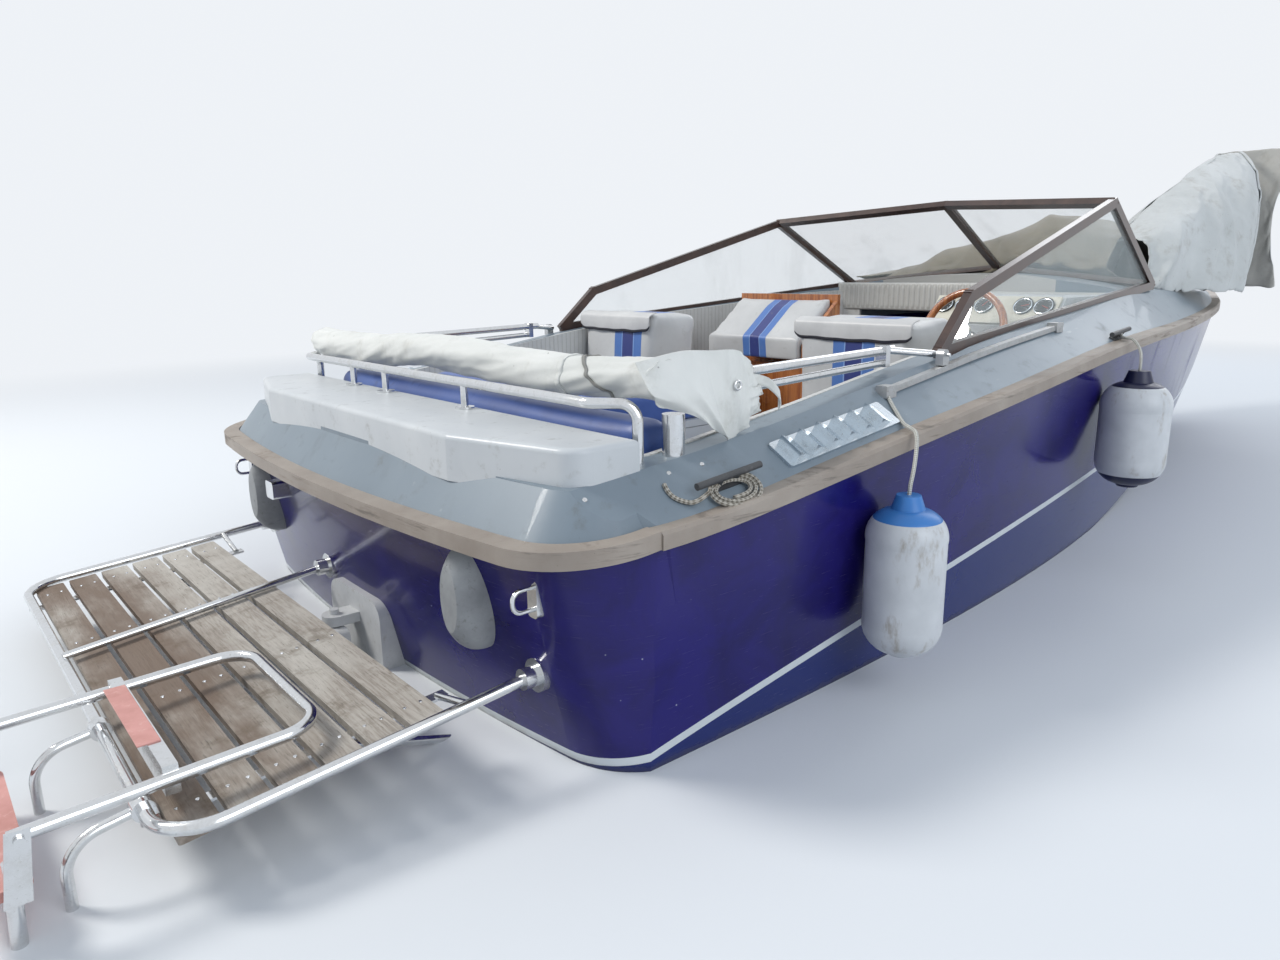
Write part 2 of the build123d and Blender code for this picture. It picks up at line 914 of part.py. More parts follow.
plate_height = dash_slope.length - 10
with BuildPart() as dash_panel:
    with BuildSketch(dash_plane) as plate_sketch:
        Rectangle(plate_length, plate_height)
    extrude(plate_sketch.sketch, amount=dash_plate)
save(dash_panel, "dash_panel")
gauge_places = [(-220, 18), (-130, 18), (-40, 18), (130, 18), (215, 18)]
with BuildPart() as gauges:
    with BuildSketch(dash_plane.offset(dash_plate)):
        with Locations(*gauge_places):
            Circle(gauge_radius)
    extrude(amount=gauge_height)
save(gauges, "gauges")

# Steering column and wheel
wheel_centre = Vector(wheel_x, -wheel_y, wheel_z)
wheel_axis = Vector(-cos(radians(wheel_tilt)), 0, sin(radians(wheel_tilt)))
wheel_plane = Plane(origin=wheel_centre, x_dir=(0, -1, 0), z_dir=wheel_axis)
with BuildPart() as steering_column:
    with BuildSketch(wheel_plane.offset(-column_reach)):
        Circle(column_radius)
    extrude(amount=-3 * column_reach)
    add(dashboard.part, mode=Mode.SUBTRACT)
    add(dash_panel.part, mode=Mode.SUBTRACT)
    with BuildSketch(wheel_plane.offset(-column_reach)):
        Circle(shaft_radius + shaft_clearance)
    extrude(amount=-column_reach, mode=Mode.SUBTRACT)
save(steering_column, "steering_column")
with BuildPart() as steering_wheel:
    with BuildSketch(Plane(origin=wheel_centre, x_dir=wheel_axis, z_dir=(0, -1, 0))) as rim_section:
        with Locations((0, wheel_radius)):
            Circle(wheel_rim)
    revolve(rim_section.sketch, axis=Axis(wheel_centre, wheel_axis), revolution_arc=360)
save(steering_wheel, "wheel_rim")
with BuildPart() as wheel_spokes:
    with BuildSketch(wheel_plane.offset(-wheel_rim / 2)):
        Circle(hub_radius)
        for turn in (-25, 205, 90):
            with Locations(Rotation(0, 0, turn)):
                Rectangle(wheel_radius - wheel_rim / 2, 26, align=(Align.MIN, Align.CENTER))
    extrude(amount=wheel_rim / 2)
    with BuildSketch(wheel_plane.offset(wheel_rim / 2 - 8)):
        Circle(hub_radius)
    extrude(amount=14)
    with BuildSketch(wheel_plane):
        Circle(shaft_radius)
    extrude(amount=-column_reach - column_reach / 2)
    add(steering_wheel.part, mode=Mode.SUBTRACT)
save(wheel_spokes, "wheel_spokes")

# Windshield: side panes and two raked front panes in a dark frame
side_normal = (wing_head - wing_foot).cross(corner_head - wing_foot)
front_normal = (centre_head - corner_head).cross(centre_foot - corner_head)
corner_run = side_normal.cross(front_normal)
corner_foot = corner_head + corner_run * ((corner_foot_height - corner_head.Z) / corner_run.Z)


def frame_bar(start, finish, normal, extra=0):
    """A frame bar along one edge of a pane, its depth square to the pane."""
    run = (finish - start).normalized()
    across = run.cross(normal)
    square_bar(start - run * extra, finish + run * extra, frame_width, frame_depth, across)


def pane(corners, normal):
    """A sheet of glass through its corners, centred on their plane."""
    plane = Plane(origin=corners[0], x_dir=corners[1] - corners[0], z_dir=normal)
    flat = [plane.to_local_coords(corner) for corner in corners]
    with BuildSketch(plane.offset(-glass_thickness / 2)) as sheet:
        with BuildLine():
            Polyline(*[(point.X, point.Y) for point in flat], close=True)
        make_face()
    extrude(sheet.sketch, amount=glass_thickness)


with BuildPart() as windshield_frame:
    for side in (1, -1):
        foot, head, corner, base = [
            point if side > 0 else mirrored(point)
            for point in (wing_foot, wing_head, corner_head, corner_foot)
        ]
        out = (head - foot).cross(corner - foot)
        front = (centre_head - corner).cross(centre_foot - corner)
        frame_bar(foot, head, out, frame_width / 3)
        frame_bar(head, corner, out, frame_width / 3)
        frame_bar(corner, base, out, 0)
        frame_bar(foot, base, out, frame_width / 4)
        frame_bar(corner, centre_head, front, frame_width / 4)
        frame_bar(base, centre_foot, front, frame_width / 4)
    square_bar(centre_foot, centre_head, frame_width, frame_depth, (0, 1, 0))
    add(deck.part, mode=Mode.SUBTRACT)
    add(cockpit_liner.part, mode=Mode.SUBTRACT)
save(windshield_frame, "windshield_frame")
with BuildPart() as windshield_glass:
    for side in (1, -1):
        foot, head, corner, base = [
            point if side > 0 else mirrored(point)
            for point in (wing_foot, wing_head, corner_head, corner_foot)
        ]
        pane([foot, head, corner, base], (head - foot).cross(corner - foot))
        pane([corner, centre_head, centre_foot, base], (centre_head - corner).cross(centre_foot - corner))
    add(windshield_frame.part, mode=Mode.SUBTRACT)
    add(deck.part, mode=Mode.SUBTRACT)
save(windshield_glass, "windshield_glass")

# Aft box: the light moulded box across the stern, seated on the deck
with BuildPart() as aft_box:
    with BuildSketch(Plane.XY.offset(aft_box_low)):
        with BuildLine():
            Polyline(
                (aft_box_aft, aft_box_straight),
                (aft_box_shoulder, aft_box_half),
                (aft_box_forward, aft_box_half),
                (aft_box_forward, -aft_box_half),
                (aft_box_shoulder, -aft_box_half),
                (aft_box_aft, -aft_box_straight),
                close=True,
            )
        make_face()
    extrude(amount=aft_box_top - aft_box_low)
    corner_edges = aft_box.edges().filter_by(Axis.Z).filter_by_position(
        Axis.X, aft_box_shoulder - 1, aft_box_shoulder + 1
    )
    fillet(corner_edges, aft_box_corner)
    fillet(aft_box.faces().sort_by(Axis.Z)[-1].edges(), aft_box_edge)
    add(deck.part, mode=Mode.SUBTRACT)
save(aft_box, "aft_box")

# Stern rail: a tube on posts across the stern, its ends turned down to the deck, and a wide
# socket for a pole at its starboard end
with BuildPart() as stern_rail:
    rail_foot = coaming_z(rail_x) - 10
    bent_tube(
        [
            (rail_end_x, rail_half, rail_foot),
            (rail_end_x, rail_half, rail_z),
            (rail_x, rail_turn, rail_z),
            (rail_x, -rail_turn, rail_z),
            (rail_end_x, -rail_half, rail_z),
            (rail_end_x, -rail_half, rail_foot),
        ],
        rail_bend,
        tube,
    )
    for post_y in rail_posts:
        straight_tube((rail_x, post_y, aft_box_top), (rail_x, post_y, rail_z), thin_tube)
        straight_tube((rail_x, post_y, aft_box_top), (rail_x, post_y, aft_box_top + 6), 2 * tube)
    socket_x, socket_y = socket_place
    socket_foot = coaming_z(socket_x) - 10
    straight_tube(
        (socket_x, -socket_y, socket_foot),
        (socket_x, -socket_y, socket_foot + socket_height + 10),
        socket_width,
    )
    add(deck.part, mode=Mode.SUBTRACT)
save(stern_rail, "stern_rail")

# Slide tracks of the hood on the side decks, with the cars that carry its arms
with BuildPart() as hood_tracks:
    for side in (1, -1):
        joints = []
        for index in range(track_spans + 1):
            along = track_aft + (track_forward - track_aft) * index / track_spans
            joint = slope_point(along, track_share, track_lift)
            joints.append(joint if side > 0 else mirrored(joint))
        for start, finish in zip(joints, joints[1:]):
            square_bar(start, finish, track_width, track_height, (0, 1, 0))
        for end in (joints[0], joints[-1]):
            with BuildSketch(Plane.XY.offset(end.Z - track_height)) as stop:
                with Locations((end.X, end.Y)):
                    Rectangle(2 * track_width, 1.6 * track_width)
            extrude(stop.sketch, amount=2 * track_height)
        with BuildSketch(Plane.XZ.offset(-side * hood_pivot.Y - car_width / 2)) as car:
            with Locations((hood_pivot.X, hood_pivot.Z)):
                Circle(car_radius)
                Rectangle(2 * car_radius, 2 * car_radius, align=(Align.CENTER, Align.MAX))
        extrude(car.sketch, amount=car_width)
        with BuildSketch(Plane.XZ.offset(-side * hood_pivot.Y - car_width)) as bore:
            with Locations((hood_pivot.X, hood_pivot.Z)):
                Circle(pin_radius + shaft_clearance)
        extrude(bore.sketch, amount=2 * car_width, mode=Mode.SUBTRACT)
    add(deck.part, mode=Mode.SUBTRACT)
    add(windshield_frame.part, mode=Mode.SUBTRACT)
save(hood_tracks, "hood_tracks")

# Hood frame: a main bow and a second bow, folded down aft on two arms
with BuildPart() as hood_frame:
    bent_tube(
        [
            (arm_joint.X + 30, arm_joint.Y, arm_joint.Z),
            (bow_x, arm_joint.Y, bow_z),
            (bow_x, -arm_joint.Y, bow_z),
            (arm_joint.X + 30, -arm_joint.Y, arm_joint.Z),
        ],
        bow_bend,
        tube,
    )
    for side in (1, -1):
        joint = Vector(arm_joint.X, side * arm_joint.Y, arm_joint.Z)
        pivot = Vector(hood_pivot.X, side * (hood_pivot.Y - pivot_inset), hood_pivot.Z)
        straight_tube(joint, pivot, thin_tube)
        straight_tube(pivot, pivot + Vector(0, side * (pivot_inset + car_width), 0), 2 * pin_radius)
        second = Vector(0, 0, -second_bow_drop)
        tail = Vector(second_bow_end, side * arm_joint.Y, bow_z)
        straight_tube(joint + second, tail + second, thin_tube)
        clip = joint + Vector(-14, 0, 13)
        square_bar(clip, clip + Vector(0, 0, -second_bow_drop - 24), 20, 34, (1, 0, 0))
save(hood_frame, "hood_frame")

# Hood canvas: the rolled cloth on the bows, with its loose pointed flap
with BuildPart() as hood_canvas:
    with BuildLine() as roll_line:
        Line((roll_port_x, roll_port_half, roll_z), (roll_starboard_x, -roll_half, roll_z - 10))
    with BuildSketch(Plane(origin=roll_line.line @ 0, z_dir=roll_line.line % 0)) as roll_section:
        Ellipse(roll_radius, roll_radius * 0.92)
    sweep(roll_section.sketch, path=roll_line.line)
    fillet(hood_canvas.edges(), roll_radius / 3)
    with BuildSketch(Plane.XZ.offset(flap_inner)) as flap:
        with BuildLine():
            Polyline(*flap_outline, close=True)
        make_face()
    extrude(flap.sketch, amount=flap_thickness)
    add(hood_frame.part, mode=Mode.SUBTRACT)
save(hood_canvas, "hood_canvas")

# Bathing platform: outer tube, inner bearers, wooden slats, flanges and struts
def platform_z(x):
    fall = (platform_fore_z - platform_aft_z) / (platform_fore - platform_aft)
    return platform_fore_z + (x - platform_fore) * fall


with BuildPart() as platform_mounts:
    for y, z, radius, sides in platform_flanges:
        face = transom_x(y, z)
        for side in sides:
            with BuildSketch(Plane.YZ.offset(face - flange_lip)) as plate:
                with Locations((side * y, z)):
                    Circle(radius)
            extrude(plate.sketch, amount=3 * flange_lip)
            with BuildSketch(Plane.YZ.offset(face - flange_reach)) as dome:
                with Locations((side * y, z)):
                    Circle(radius * 0.62)
            extrude(dome.sketch, amount=flange_reach)
    add(hull.part, mode=Mode.SUBTRACT)
save(platform_mounts, "platform_mounts")
with BuildPart() as platform_frame:
    outer_y = platform_flanges[0][0]
    bent_tube(
        [
            (platform_fore, outer_y, platform_fore_z),
            (platform_aft, platform_aft_half, platform_aft_z),
            (platform_aft, -platform_aft_half, platform_aft_z),
            (platform_fore, -outer_y, platform_fore_z),
        ],
        platform_bend,
        tube,
    )
    middle_y, middle_z = platform_flanges[1][:2]
    straight_tube(
        (transom_x(middle_y, middle_z) - 20, middle_y, middle_z),
        (platform_aft, middle_tube_end, platform_aft_z + middle_tube_rise),
        thin_tube,
    )
    bearer_drop = slat_drop + slat_thickness + bearer_depth / 2
    strut_y, strut_z = platform_flanges[2][:2]
    for side in (1, -1):
        fore_end = Vector(bearer_fore, side * bearer_y, platform_z(bearer_fore) - bearer_drop)
        aft_end = Vector(platform_aft, side * bearer_y, platform_aft_z - bearer_drop)
        square_bar(fore_end, aft_end, bearer_width, bearer_depth, (0, 1, 0))
        straight_tube(aft_end, (platform_aft, side * bearer_y, platform_aft_z), link_tube)
        straight_tube(
            (bearer_fore - 20, side * bearer_y, platform_z(bearer_fore) - bearer_drop),
            (bearer_fore - 20, side * (outer_y - 2), platform_z(bearer_fore)),
            link_tube,
        )
        straight_tube(
            (transom_x(strut_y, strut_z) - 20, side * strut_y, strut_z),
            (strut_end_x, side * bearer_y, platform_z(strut_end_x) - bearer_drop),
            thin_tube,
        )
    add(platform_mounts.part, mode=Mode.SUBTRACT)
    add(hull.part, mode=Mode.SUBTRACT)
save(platform_frame, "platform_frame")
platform_tilt = degrees(atan2(platform_fore_z - platform_aft_z, platform_fore - platform_aft))
with BuildPart() as platform_slats:
    for index in range(slat_count):
        x = slat_first - index * slat_pitch
        slat_plane = Plane(
            origin=(x, 0, platform_z(x) - slat_drop - slat_thickness),
            x_dir=(cos(radians(platform_tilt)), 0, sin(radians(platform_tilt))),
            z_dir=(-sin(radians(platform_tilt)), 0, cos(radians(platform_tilt))),
        )
        with BuildSketch(slat_plane) as slat:
            RectangleRounded(slat_width, 2 * slat_half, 6)
        extrude(slat.sketch, amount=slat_thickness)
    add(platform_frame.part, mode=Mode.SUBTRACT)
save(platform_slats, "platform_slats")

# Boarding ladder: the lower section hangs from the platform, the upper one folds over it
ladder_ys = (ladder_middle + ladder_width / 2, ladder_middle - ladder_width / 2)
with BuildPart() as ladder_lower:
    for y in ladder_ys:
        arm_y = y + (arm_inset if y < ladder_middle else -arm_inset)
        bent_tube(
            [
                (platform_aft - tube / 2 - 2, arm_y, platform_aft_z - 2),
                (ladder_stay_x, arm_y, platform_aft_z - 20),
                (ladder_stay_x, arm_y, ladder_stay_low),
            ],
            ladder_stay_bend,
            thin_tube,
        )
        with BuildSketch(Plane.XZ.offset(-arm_y - 16)) as clamp:
            with Locations((platform_aft, platform_aft_z)):
                Circle(tube / 2 + 8)
        extrude(clamp.sketch, amount=32)
        straight_tube((ladder_leg_x, y, ladder_leg_top), (ladder_leg_x - 25, y, ladder_leg_low), tube)
        cheek_y = y + (cheek_offset if y > ladder_middle else -cheek_offset)
        with BuildSketch(Plane.XZ.offset(-cheek_y - cheek_thickness / 2)) as cheek:
            with BuildLine():
                Polyline(
                    (ladder_pivot_x - 18, ladder_pivot_z + 18),
                    (ladder_pivot_x + 18, ladder_pivot_z + 18),
                    (ladder_leg_x + 20, ladder_leg_top - 70),
                    (ladder_leg_x - 20, ladder_leg_top - 70),
                    close=True,
                )
            make_face()
            with Locations((ladder_pivot_x, ladder_pivot_z)):
                Circle(pin_radius + shaft_clearance, mode=Mode.SUBTRACT)
        extrude(cheek.sketch, amount=cheek_thickness)
        boss_z = ladder_leg_top - 40
        straight_tube((ladder_leg_x - 2, y, boss_z), (ladder_leg_x - 2, cheek_y, boss_z), thin_tube)
    straight_tube(
        (ladder_stay_x, ladder_ys[0] + 30, ladder_stay_low),
        (ladder_stay_x, ladder_ys[1] - 30, ladder_stay_low),
        tube,
    )
    for y in ladder_ys:
        straight_tube((ladder_stay_x, y, ladder_stay_low), (ladder_leg_x - 13, y, ladder_stay_low), link_tube)
    add(platform_frame.part, mode=Mode.SUBTRACT)
save(ladder_lower, "ladder_lower")
tread_half = ladder_width / 2 - tube / 2
with BuildPart() as ladder_treads:
    for height, aft_reach in ladder_lower_treads:
        x = ladder_leg_x - 25 * (ladder_leg_top - height) / (ladder_leg_top - ladder_leg_low)
        with BuildSketch(Plane.XY.offset(height)) as tread:
            with Locations((x - tread_width / 2 + aft_reach, ladder_middle)):
                RectangleRounded(tread_width, 2 * tread_half + tube, tread_width / 3)
        extrude(tread.sketch, amount=tread_thickness)
    add(ladder_lower.part, mode=Mode.SUBTRACT)
save(ladder_treads, "ladder_treads")
with BuildPart() as ladder_upper:
    bent_tube(
        [
            (ladder_pivot_x - 14, ladder_ys[0], ladder_pivot_z),
            (ladder_loop_x, ladder_ys[0], ladder_loop_z),
            (ladder_loop_x, ladder_ys[1], ladder_loop_z),
            (ladder_pivot_x - 14, ladder_ys[1], ladder_pivot_z),
        ],
        ladder_loop_bend,
        tube,
    )
    for y in ladder_ys:
        out = 1 if y > ladder_middle else -1
        straight_tube(
            (ladder_pivot_x, y, ladder_pivot_z),
            (ladder_pivot_x, y + out * (cheek_offset + cheek_thickness), ladder_pivot_z),
            2 * pin_radius,
        )
        straight_tube(
            (ladder_pivot_x, y + out * (cheek_offset + cheek_thickness / 2 + tube_gap), ladder_pivot_z),
            (ladder_pivot_x, y + out * (cheek_offset + 2 * cheek_thickness), ladder_pivot_z),
            3.4 * pin_radius,
        )
    with BuildSketch(Plane.XY.offset(ladder_pivot_z - upper_tread_height / 2 + 6)) as tread:
        with Locations((upper_tread_x, ladder_middle)):
            Rectangle(tread_thickness + 8, 2 * tread_half + tube)
    extrude(tread.sketch, amount=upper_tread_height)
save(ladder_upper, "ladder_upper")

# Sterndrive: transom plate with two lugs, swivel yoke, drive leg and propeller
plate_aft = transom_x(0, plate_high) - plate_proud
with BuildPart() as transom_plate:
    with BuildSketch(Plane.YZ.offset(plate_aft)):
        with Locations((0, (plate_low + plate_high) / 2)):
            RectangleRounded(plate_width, plate_high - plate_low, 50)
    extrude(amount=plate_proud + rake_run * (plate_high - plate_low))
    for side in (1, -1):
        with BuildSketch(Plane.XY.offset(tilt_z + side * lug_offset - lug_thickness / 2)):
            with Locations((steer_x, 0)):
                Circle(lug_radius)
            with Locations(((steer_x + plate_aft + plate_proud) / 2, 0)):
                Rectangle(plate_aft + plate_proud - steer_x, 2 * lug_radius)
            with Locations((steer_x, 0)):
                Circle(swivel_radius + shaft_clearance, mode=Mode.SUBTRACT)
        extrude(amount=lug_thickness)
    add(hull.part, mode=Mode.SUBTRACT)
save(transom_plate, "transom_plate")
with BuildPart() as swivel_yoke:
    with BuildSketch(Plane.XY.offset(tilt_z - lug_offset - lug_thickness)):
        with Locations((steer_x, 0)):
            Circle(swivel_radius)
    extrude(amount=2 * (lug_offset + lug_thickness))
    yoke_half = lug_offset - lug_thickness / 2 - 3
    with BuildSketch(Plane.YZ.offset(steer_x - ear_radius)):
        with Locations((0, tilt_z)):
            RectangleRounded(2 * ear_offset + ear_thickness, 2 * yoke_half, 24)
    extrude(amount=ear_radius + swivel_radius)
    for side in (1, -1):
        with BuildSketch(Plane.XZ.offset(-side * ear_offset - ear_thickness / 2)) as ear:
            with Locations((tilt_x, tilt_z)):
                Circle(ear_radius)
            with Locations(((tilt_x + steer_x) / 2, tilt_z)):
                Rectangle(steer_x - tilt_x, 2 * ear_radius)
            with Locations((tilt_x, tilt_z)):
                Circle(pin_radius + shaft_clearance, mode=Mode.SUBTRACT)
        extrude(ear.sketch, amount=ear_thickness)
save(swivel_yoke, "swivel_yoke")


def foil_section(height, start, length, thickness):
    """Plan section of the leg at a height: a rounded nose forward and a narrow tail."""
    shoulder = start - length * 0.35
    tail = start - length
    half = thickness / 2
    with BuildSketch(Plane.XY.offset(height)) as section:
        with BuildLine():
            ThreePointArc((shoulder, -half), (start, 0), (shoulder, half))
            Polyline((shoulder, half), (tail, half / 6), (tail, -half / 6), (shoulder, -half))
        make_face()
    return section.sketch


housing_fore = tilt_x - ear_radius + 8
housing_side = ear_offset - ear_thickness / 2 - 6
housing_low = tilt_z - 130
with BuildPart() as drive_leg:
    with BuildSketch(Plane.XZ.offset(-housing_side)):
        with BuildLine():
            Polyline(
                (tilt_x + 14, tilt_z + 18),
                (tilt_x - 30, tilt_z + 45),
                (tilt_x - 90, housing_top),
                (housing_aft + 70, housing_top - 8),
                (housing_aft, housing_top - 70),
                (housing_aft, housing_low),
                (housing_fore, housing_low),
                (tilt_x + 14, tilt_z - 18),
                close=True,
            )
        make_face()
    extrude(amount=2 * housing_side)
    sections = [
        foil_section(housing_low + 4, housing_fore - 2, leg_chord + 20, 2 * housing_side - 6),
        foil_section(leg_low, housing_fore - 18, leg_chord, leg_thickness),
    ]
    loft(sections, ruled=True)
    extrude(sections[1], amount=torpedo_z - leg_low)
    with BuildSketch(Plane.XY.offset(plate_drop)):
        with Locations((housing_fore - leg_chord * 0.75, 0)):
            RectangleRounded(leg_chord * 1.75, 3.2 * housing_side, 46)
    extrude(amount=9)
    with BuildSketch(Plane.XZ):
        with BuildLine():
            Polyline(
                (torpedo_fore, torpedo_z),
                (torpedo_fore - 60, torpedo_z + torpedo_radius * 0.85),
                (torpedo_fore - 110, torpedo_z + torpedo_radius),
                (torpedo_aft + 60, torpedo_z + torpedo_radius),
                (torpedo_aft, torpedo_z + propeller_hub),
                (torpedo_aft, torpedo_z),
                close=True,
            )
        make_face()
    revolve(axis=Axis((0, 0, torpedo_z), (1, 0, 0)))
    side_profile_solid(
        [
            (torpedo_fore - 70, torpedo_z),
            (torpedo_aft + 20, torpedo_z),
            (torpedo_aft + 40, skeg_low),
            (torpedo_aft + 95, skeg_low),
        ],
        -6,
        6,
    )
    with BuildSketch(Plane.YZ.offset(torpedo_aft)):
        with Locations((0, torpedo_z)):
            Circle(prop_shaft)
    extrude(amount=-propeller_length - 14)
    with BuildSketch(Plane.YZ.offset(torpedo_aft - propeller_length - 8)):
        with Locations((0, torpedo_z)):
            RegularPolygon(prop_shaft + 8, 6)
    extrude(amount=-16)
    with BuildSketch(Plane.XZ.offset(-ear_offset - ear_thickness)) as pin:
        with Locations((tilt_x, tilt_z)):
            Circle(pin_radius)
    extrude(pin.sketch, amount=2 * (ear_offset + ear_thickness))
save(drive_leg, "drive_leg")

prop_x = torpedo_aft - 4 - propeller_length / 2
with BuildPart() as propeller:
    with BuildSketch(Plane.YZ.offset(prop_x - propeller_length / 2)):
        with Locations((0, torpedo_z)):
            Circle(propeller_hub)
    extrude(amount=propeller_length)
    for index in range(blade_count):
        turn = index * 360 / blade_count
        radial = Vector(0, cos(radians(turn)), sin(radians(turn)))
        chord_way = Vector(sin(radians(blade_pitch)), 0, 0) + radial.cross(Vector(1, 0, 0)) * cos(
            radians(blade_pitch)
        )
        blade_plane = Plane(
            origin=Vector(prop_x, 0, torpedo_z) + radial * (propeller_hub + propeller_radius) / 2,
            x_dir=radial,
            z_dir=radial.cross(chord_way),
        )
        with BuildSketch(blade_plane.offset(-3)) as blade:
            Ellipse((propeller_radius - propeller_hub) / 2 + 8, 52)
        extrude(blade.sketch, amount=6)
    with BuildSketch(Plane.YZ.offset(prop_x - propeller_length)) as bore:
        with Locations((0, torpedo_z)):
            Circle(prop_shaft + shaft_clearance)
    extrude(bore.sketch, amount=2 * propeller_length, mode=Mode.SUBTRACT)
save(propeller, "propeller")

# Louvred air vents on the side decks
with BuildPart() as air_vents:
    for side in (1, -1):
        seat = slope_plane(vent_x, vent_share, side, -4)
        with BuildSketch(seat) as base:
            RectangleRounded(vent_length, vent_height, 8)
        extrude(base.sketch, amount=vent_base + 4)
        pitch = (vent_length - 40) / louvre_count
        for index in range(louvre_count):
            middle = (index - (louvre_count - 1) / 2) * pitch
            hood_plane = Plane(
                origin=seat.from_local_coords((middle, 0, vent_base)),
                x_dir=seat.x_dir,
                z_dir=seat.y_dir,
            )
            with BuildSketch(hood_plane.offset(-vent_height / 2 + 10)) as hood_section:
                with BuildLine():
                    Polyline(
                        (-pitch / 2 + 3, 0), (pitch / 2 - 3, 0), (-pitch / 2 + 3, -louvre_rise), close=True
                    )
                make_face()
            extrude(hood_section.sketch, amount=vent_height - 20)
    add(deck.part, mode=Mode.SUBTRACT)
save(air_vents, "air_vents")

# Cleats on the side decks
with BuildPart() as cleats:
    for x, share in cleat_places:
        for side in (1, -1):
            seat = slope_plane(x, share, side, -3)
            with BuildSketch(seat) as foot:
                RectangleRounded(cleat_base, cleat_width, 8)
            extrude(foot.sketch, amount=8)
            with BuildSketch(seat) as legs:
                with GridLocations(cleat_base * 0.55, 1, 2, 1):
                    Circle(cleat_width * 0.3)
            extrude(legs.sketch, amount=cleat_height)
            ends = [
                seat.from_local_coords((reach, 0, cleat_height))
                for reach in (-cleat_length / 2, cleat_length / 2)
            ]
            straight_tube(ends[0], ends[1], cleat_width * 0.62)
    add(deck.part, mode=Mode.SUBTRACT)
    add(whole_rail.part, mode=Mode.SUBTRACT)
save(cleats, "cleats")

# Transom fittings: stern light, two shell vents and two lifting eyes
with BuildPart() as stern_light:
    with BuildSketch(Plane.YZ.offset(transom_x(light_y, light_z) - 52)):
        with Locations((light_y, light_z)):
            RectangleRounded(62, 54, 10)
    extrude(amount=80)
    add(hull.part, mode=Mode.SUBTRACT)
save(stern_light, "stern_light")
with BuildPart() as transom_vents:
    for side in (1, -1):
        middle_z = (shell_low + shell_high) / 2
        face = transom_x(shell_y, middle_z)
        layers = []
        for depth, share in ((-70, 1.0), (shell_depth * 0.55, 0.93), (shell_depth, 0.62)):
            with BuildSketch(Plane.YZ.offset(face - depth)) as layer:
                with Locations((side * shell_y, middle_z)):
                    Ellipse(shell_width / 2 * share, (shell_high - shell_low) / 2 * share)
            layers.append(layer.sketch)
        loft(layers)
    add(hull.part, mode=Mode.SUBTRACT)
save(transom_vents, "transom_vents")
with BuildPart() as transom_eyes:
    for side in (1, -1):
        face = transom_x(eye_y, eye_z)
        bent_tube(
            [
                (face + 15, side * eye_y, eye_z + eye_radius),
                (face - 2.2 * eye_radius, side * eye_y, eye_z + eye_radius),
                (face - 2.2 * eye_radius, side * eye_y, eye_z - eye_radius),
                (face + 15, side * eye_y, eye_z - eye_radius),
            ],
            eye_radius * 0.9,
            2 * eye_rod,
        )
        with BuildSketch(Plane.YZ.offset(face - 6)) as pad:
            with Locations((side * eye_y, eye_z)):
                RectangleRounded(34, 84, 10)
        extrude(pad.sketch, amount=24)
    add(hull.part, mode=Mode.SUBTRACT)
save(transom_eyes, "transom_eyes")

# Mooring cover, bundled on the foredeck
with BuildPart() as bow_cover:
    heap = []
    for y, aft, forward, high in heap_sections:
        with BuildSketch(Plane.XZ.offset(-y)) as section:
            with Locations(((aft + forward) / 2, (heap_low + high) / 2)):
                RectangleRounded(forward - aft, high - heap_low, (high - heap_low) * 0.3)
        heap.append(section.sketch)
    loft(heap)
    bundle = []
    for x, y, half, low, high in bundle_sections:
        with BuildSketch(Plane.YZ.offset(x)) as section:
            with Locations((y, (low + high) / 2)):
                RectangleRounded(2 * half, high - low, half * 0.6)
        bundle.append(section.sketch)
    loft(bundle)
    add(deck.part, mode=Mode.SUBTRACT)
save(bow_cover, "bow_cover")

# Fenders hanging against the starboard side
fender_solids = {}
for name, (x, y, radius, low, high) in fenders.items():
    with BuildPart() as fender:
        with BuildSketch(Plane.XZ.offset(y)):
            with BuildLine():
                Line((x, low), (x, high))
                Line((x, high), (x + radius * 0.3, high))
                Line((x + radius * 0.3, high), (x + radius * 0.42, high - radius * 0.35))
                ThreePointArc(
                    (x + radius * 0.42, high - radius * 0.35),
                    (x + radius * 0.86, high - radius * 0.62),
                    (x + radius, high - radius * 1.2),
                )
                Line((x + radius, high - radius * 1.2), (x + radius, low + radius * 0.9))
                ThreePointArc(
                    (x + radius, low + radius * 0.9),
                    (x + radius * 0.78, low + radius * 0.3),
                    (x + radius * 0.35, low + radius * 0.08),
                )
                Line((x + radius * 0.35, low + radius * 0.08), (x + radius * 0.3, low))
                Line((x + radius * 0.3, low), (x, low))
            make_face()
        revolve(axis=Axis((x, -y, 0), (0, 0, 1)))
    fender_solids[name] = fender.part
    save(fender, name)


# Lanyards of the fenders: round cords over the strake, tied on deck and in the fender's neck
def cord_corners(points):
    """The radius of each bend: 0.45 of the shorter run over the tangent of half the turn."""
    radii = []
    for before, here, after in zip(points, points[1:], points[2:]):
        turn = (here - before).get_angle(after - here)
        shorter = min((here - before).length, (after - here).length)
        radii.append(0.45 * shorter / tan(radians(turn / 2)))
    return radii


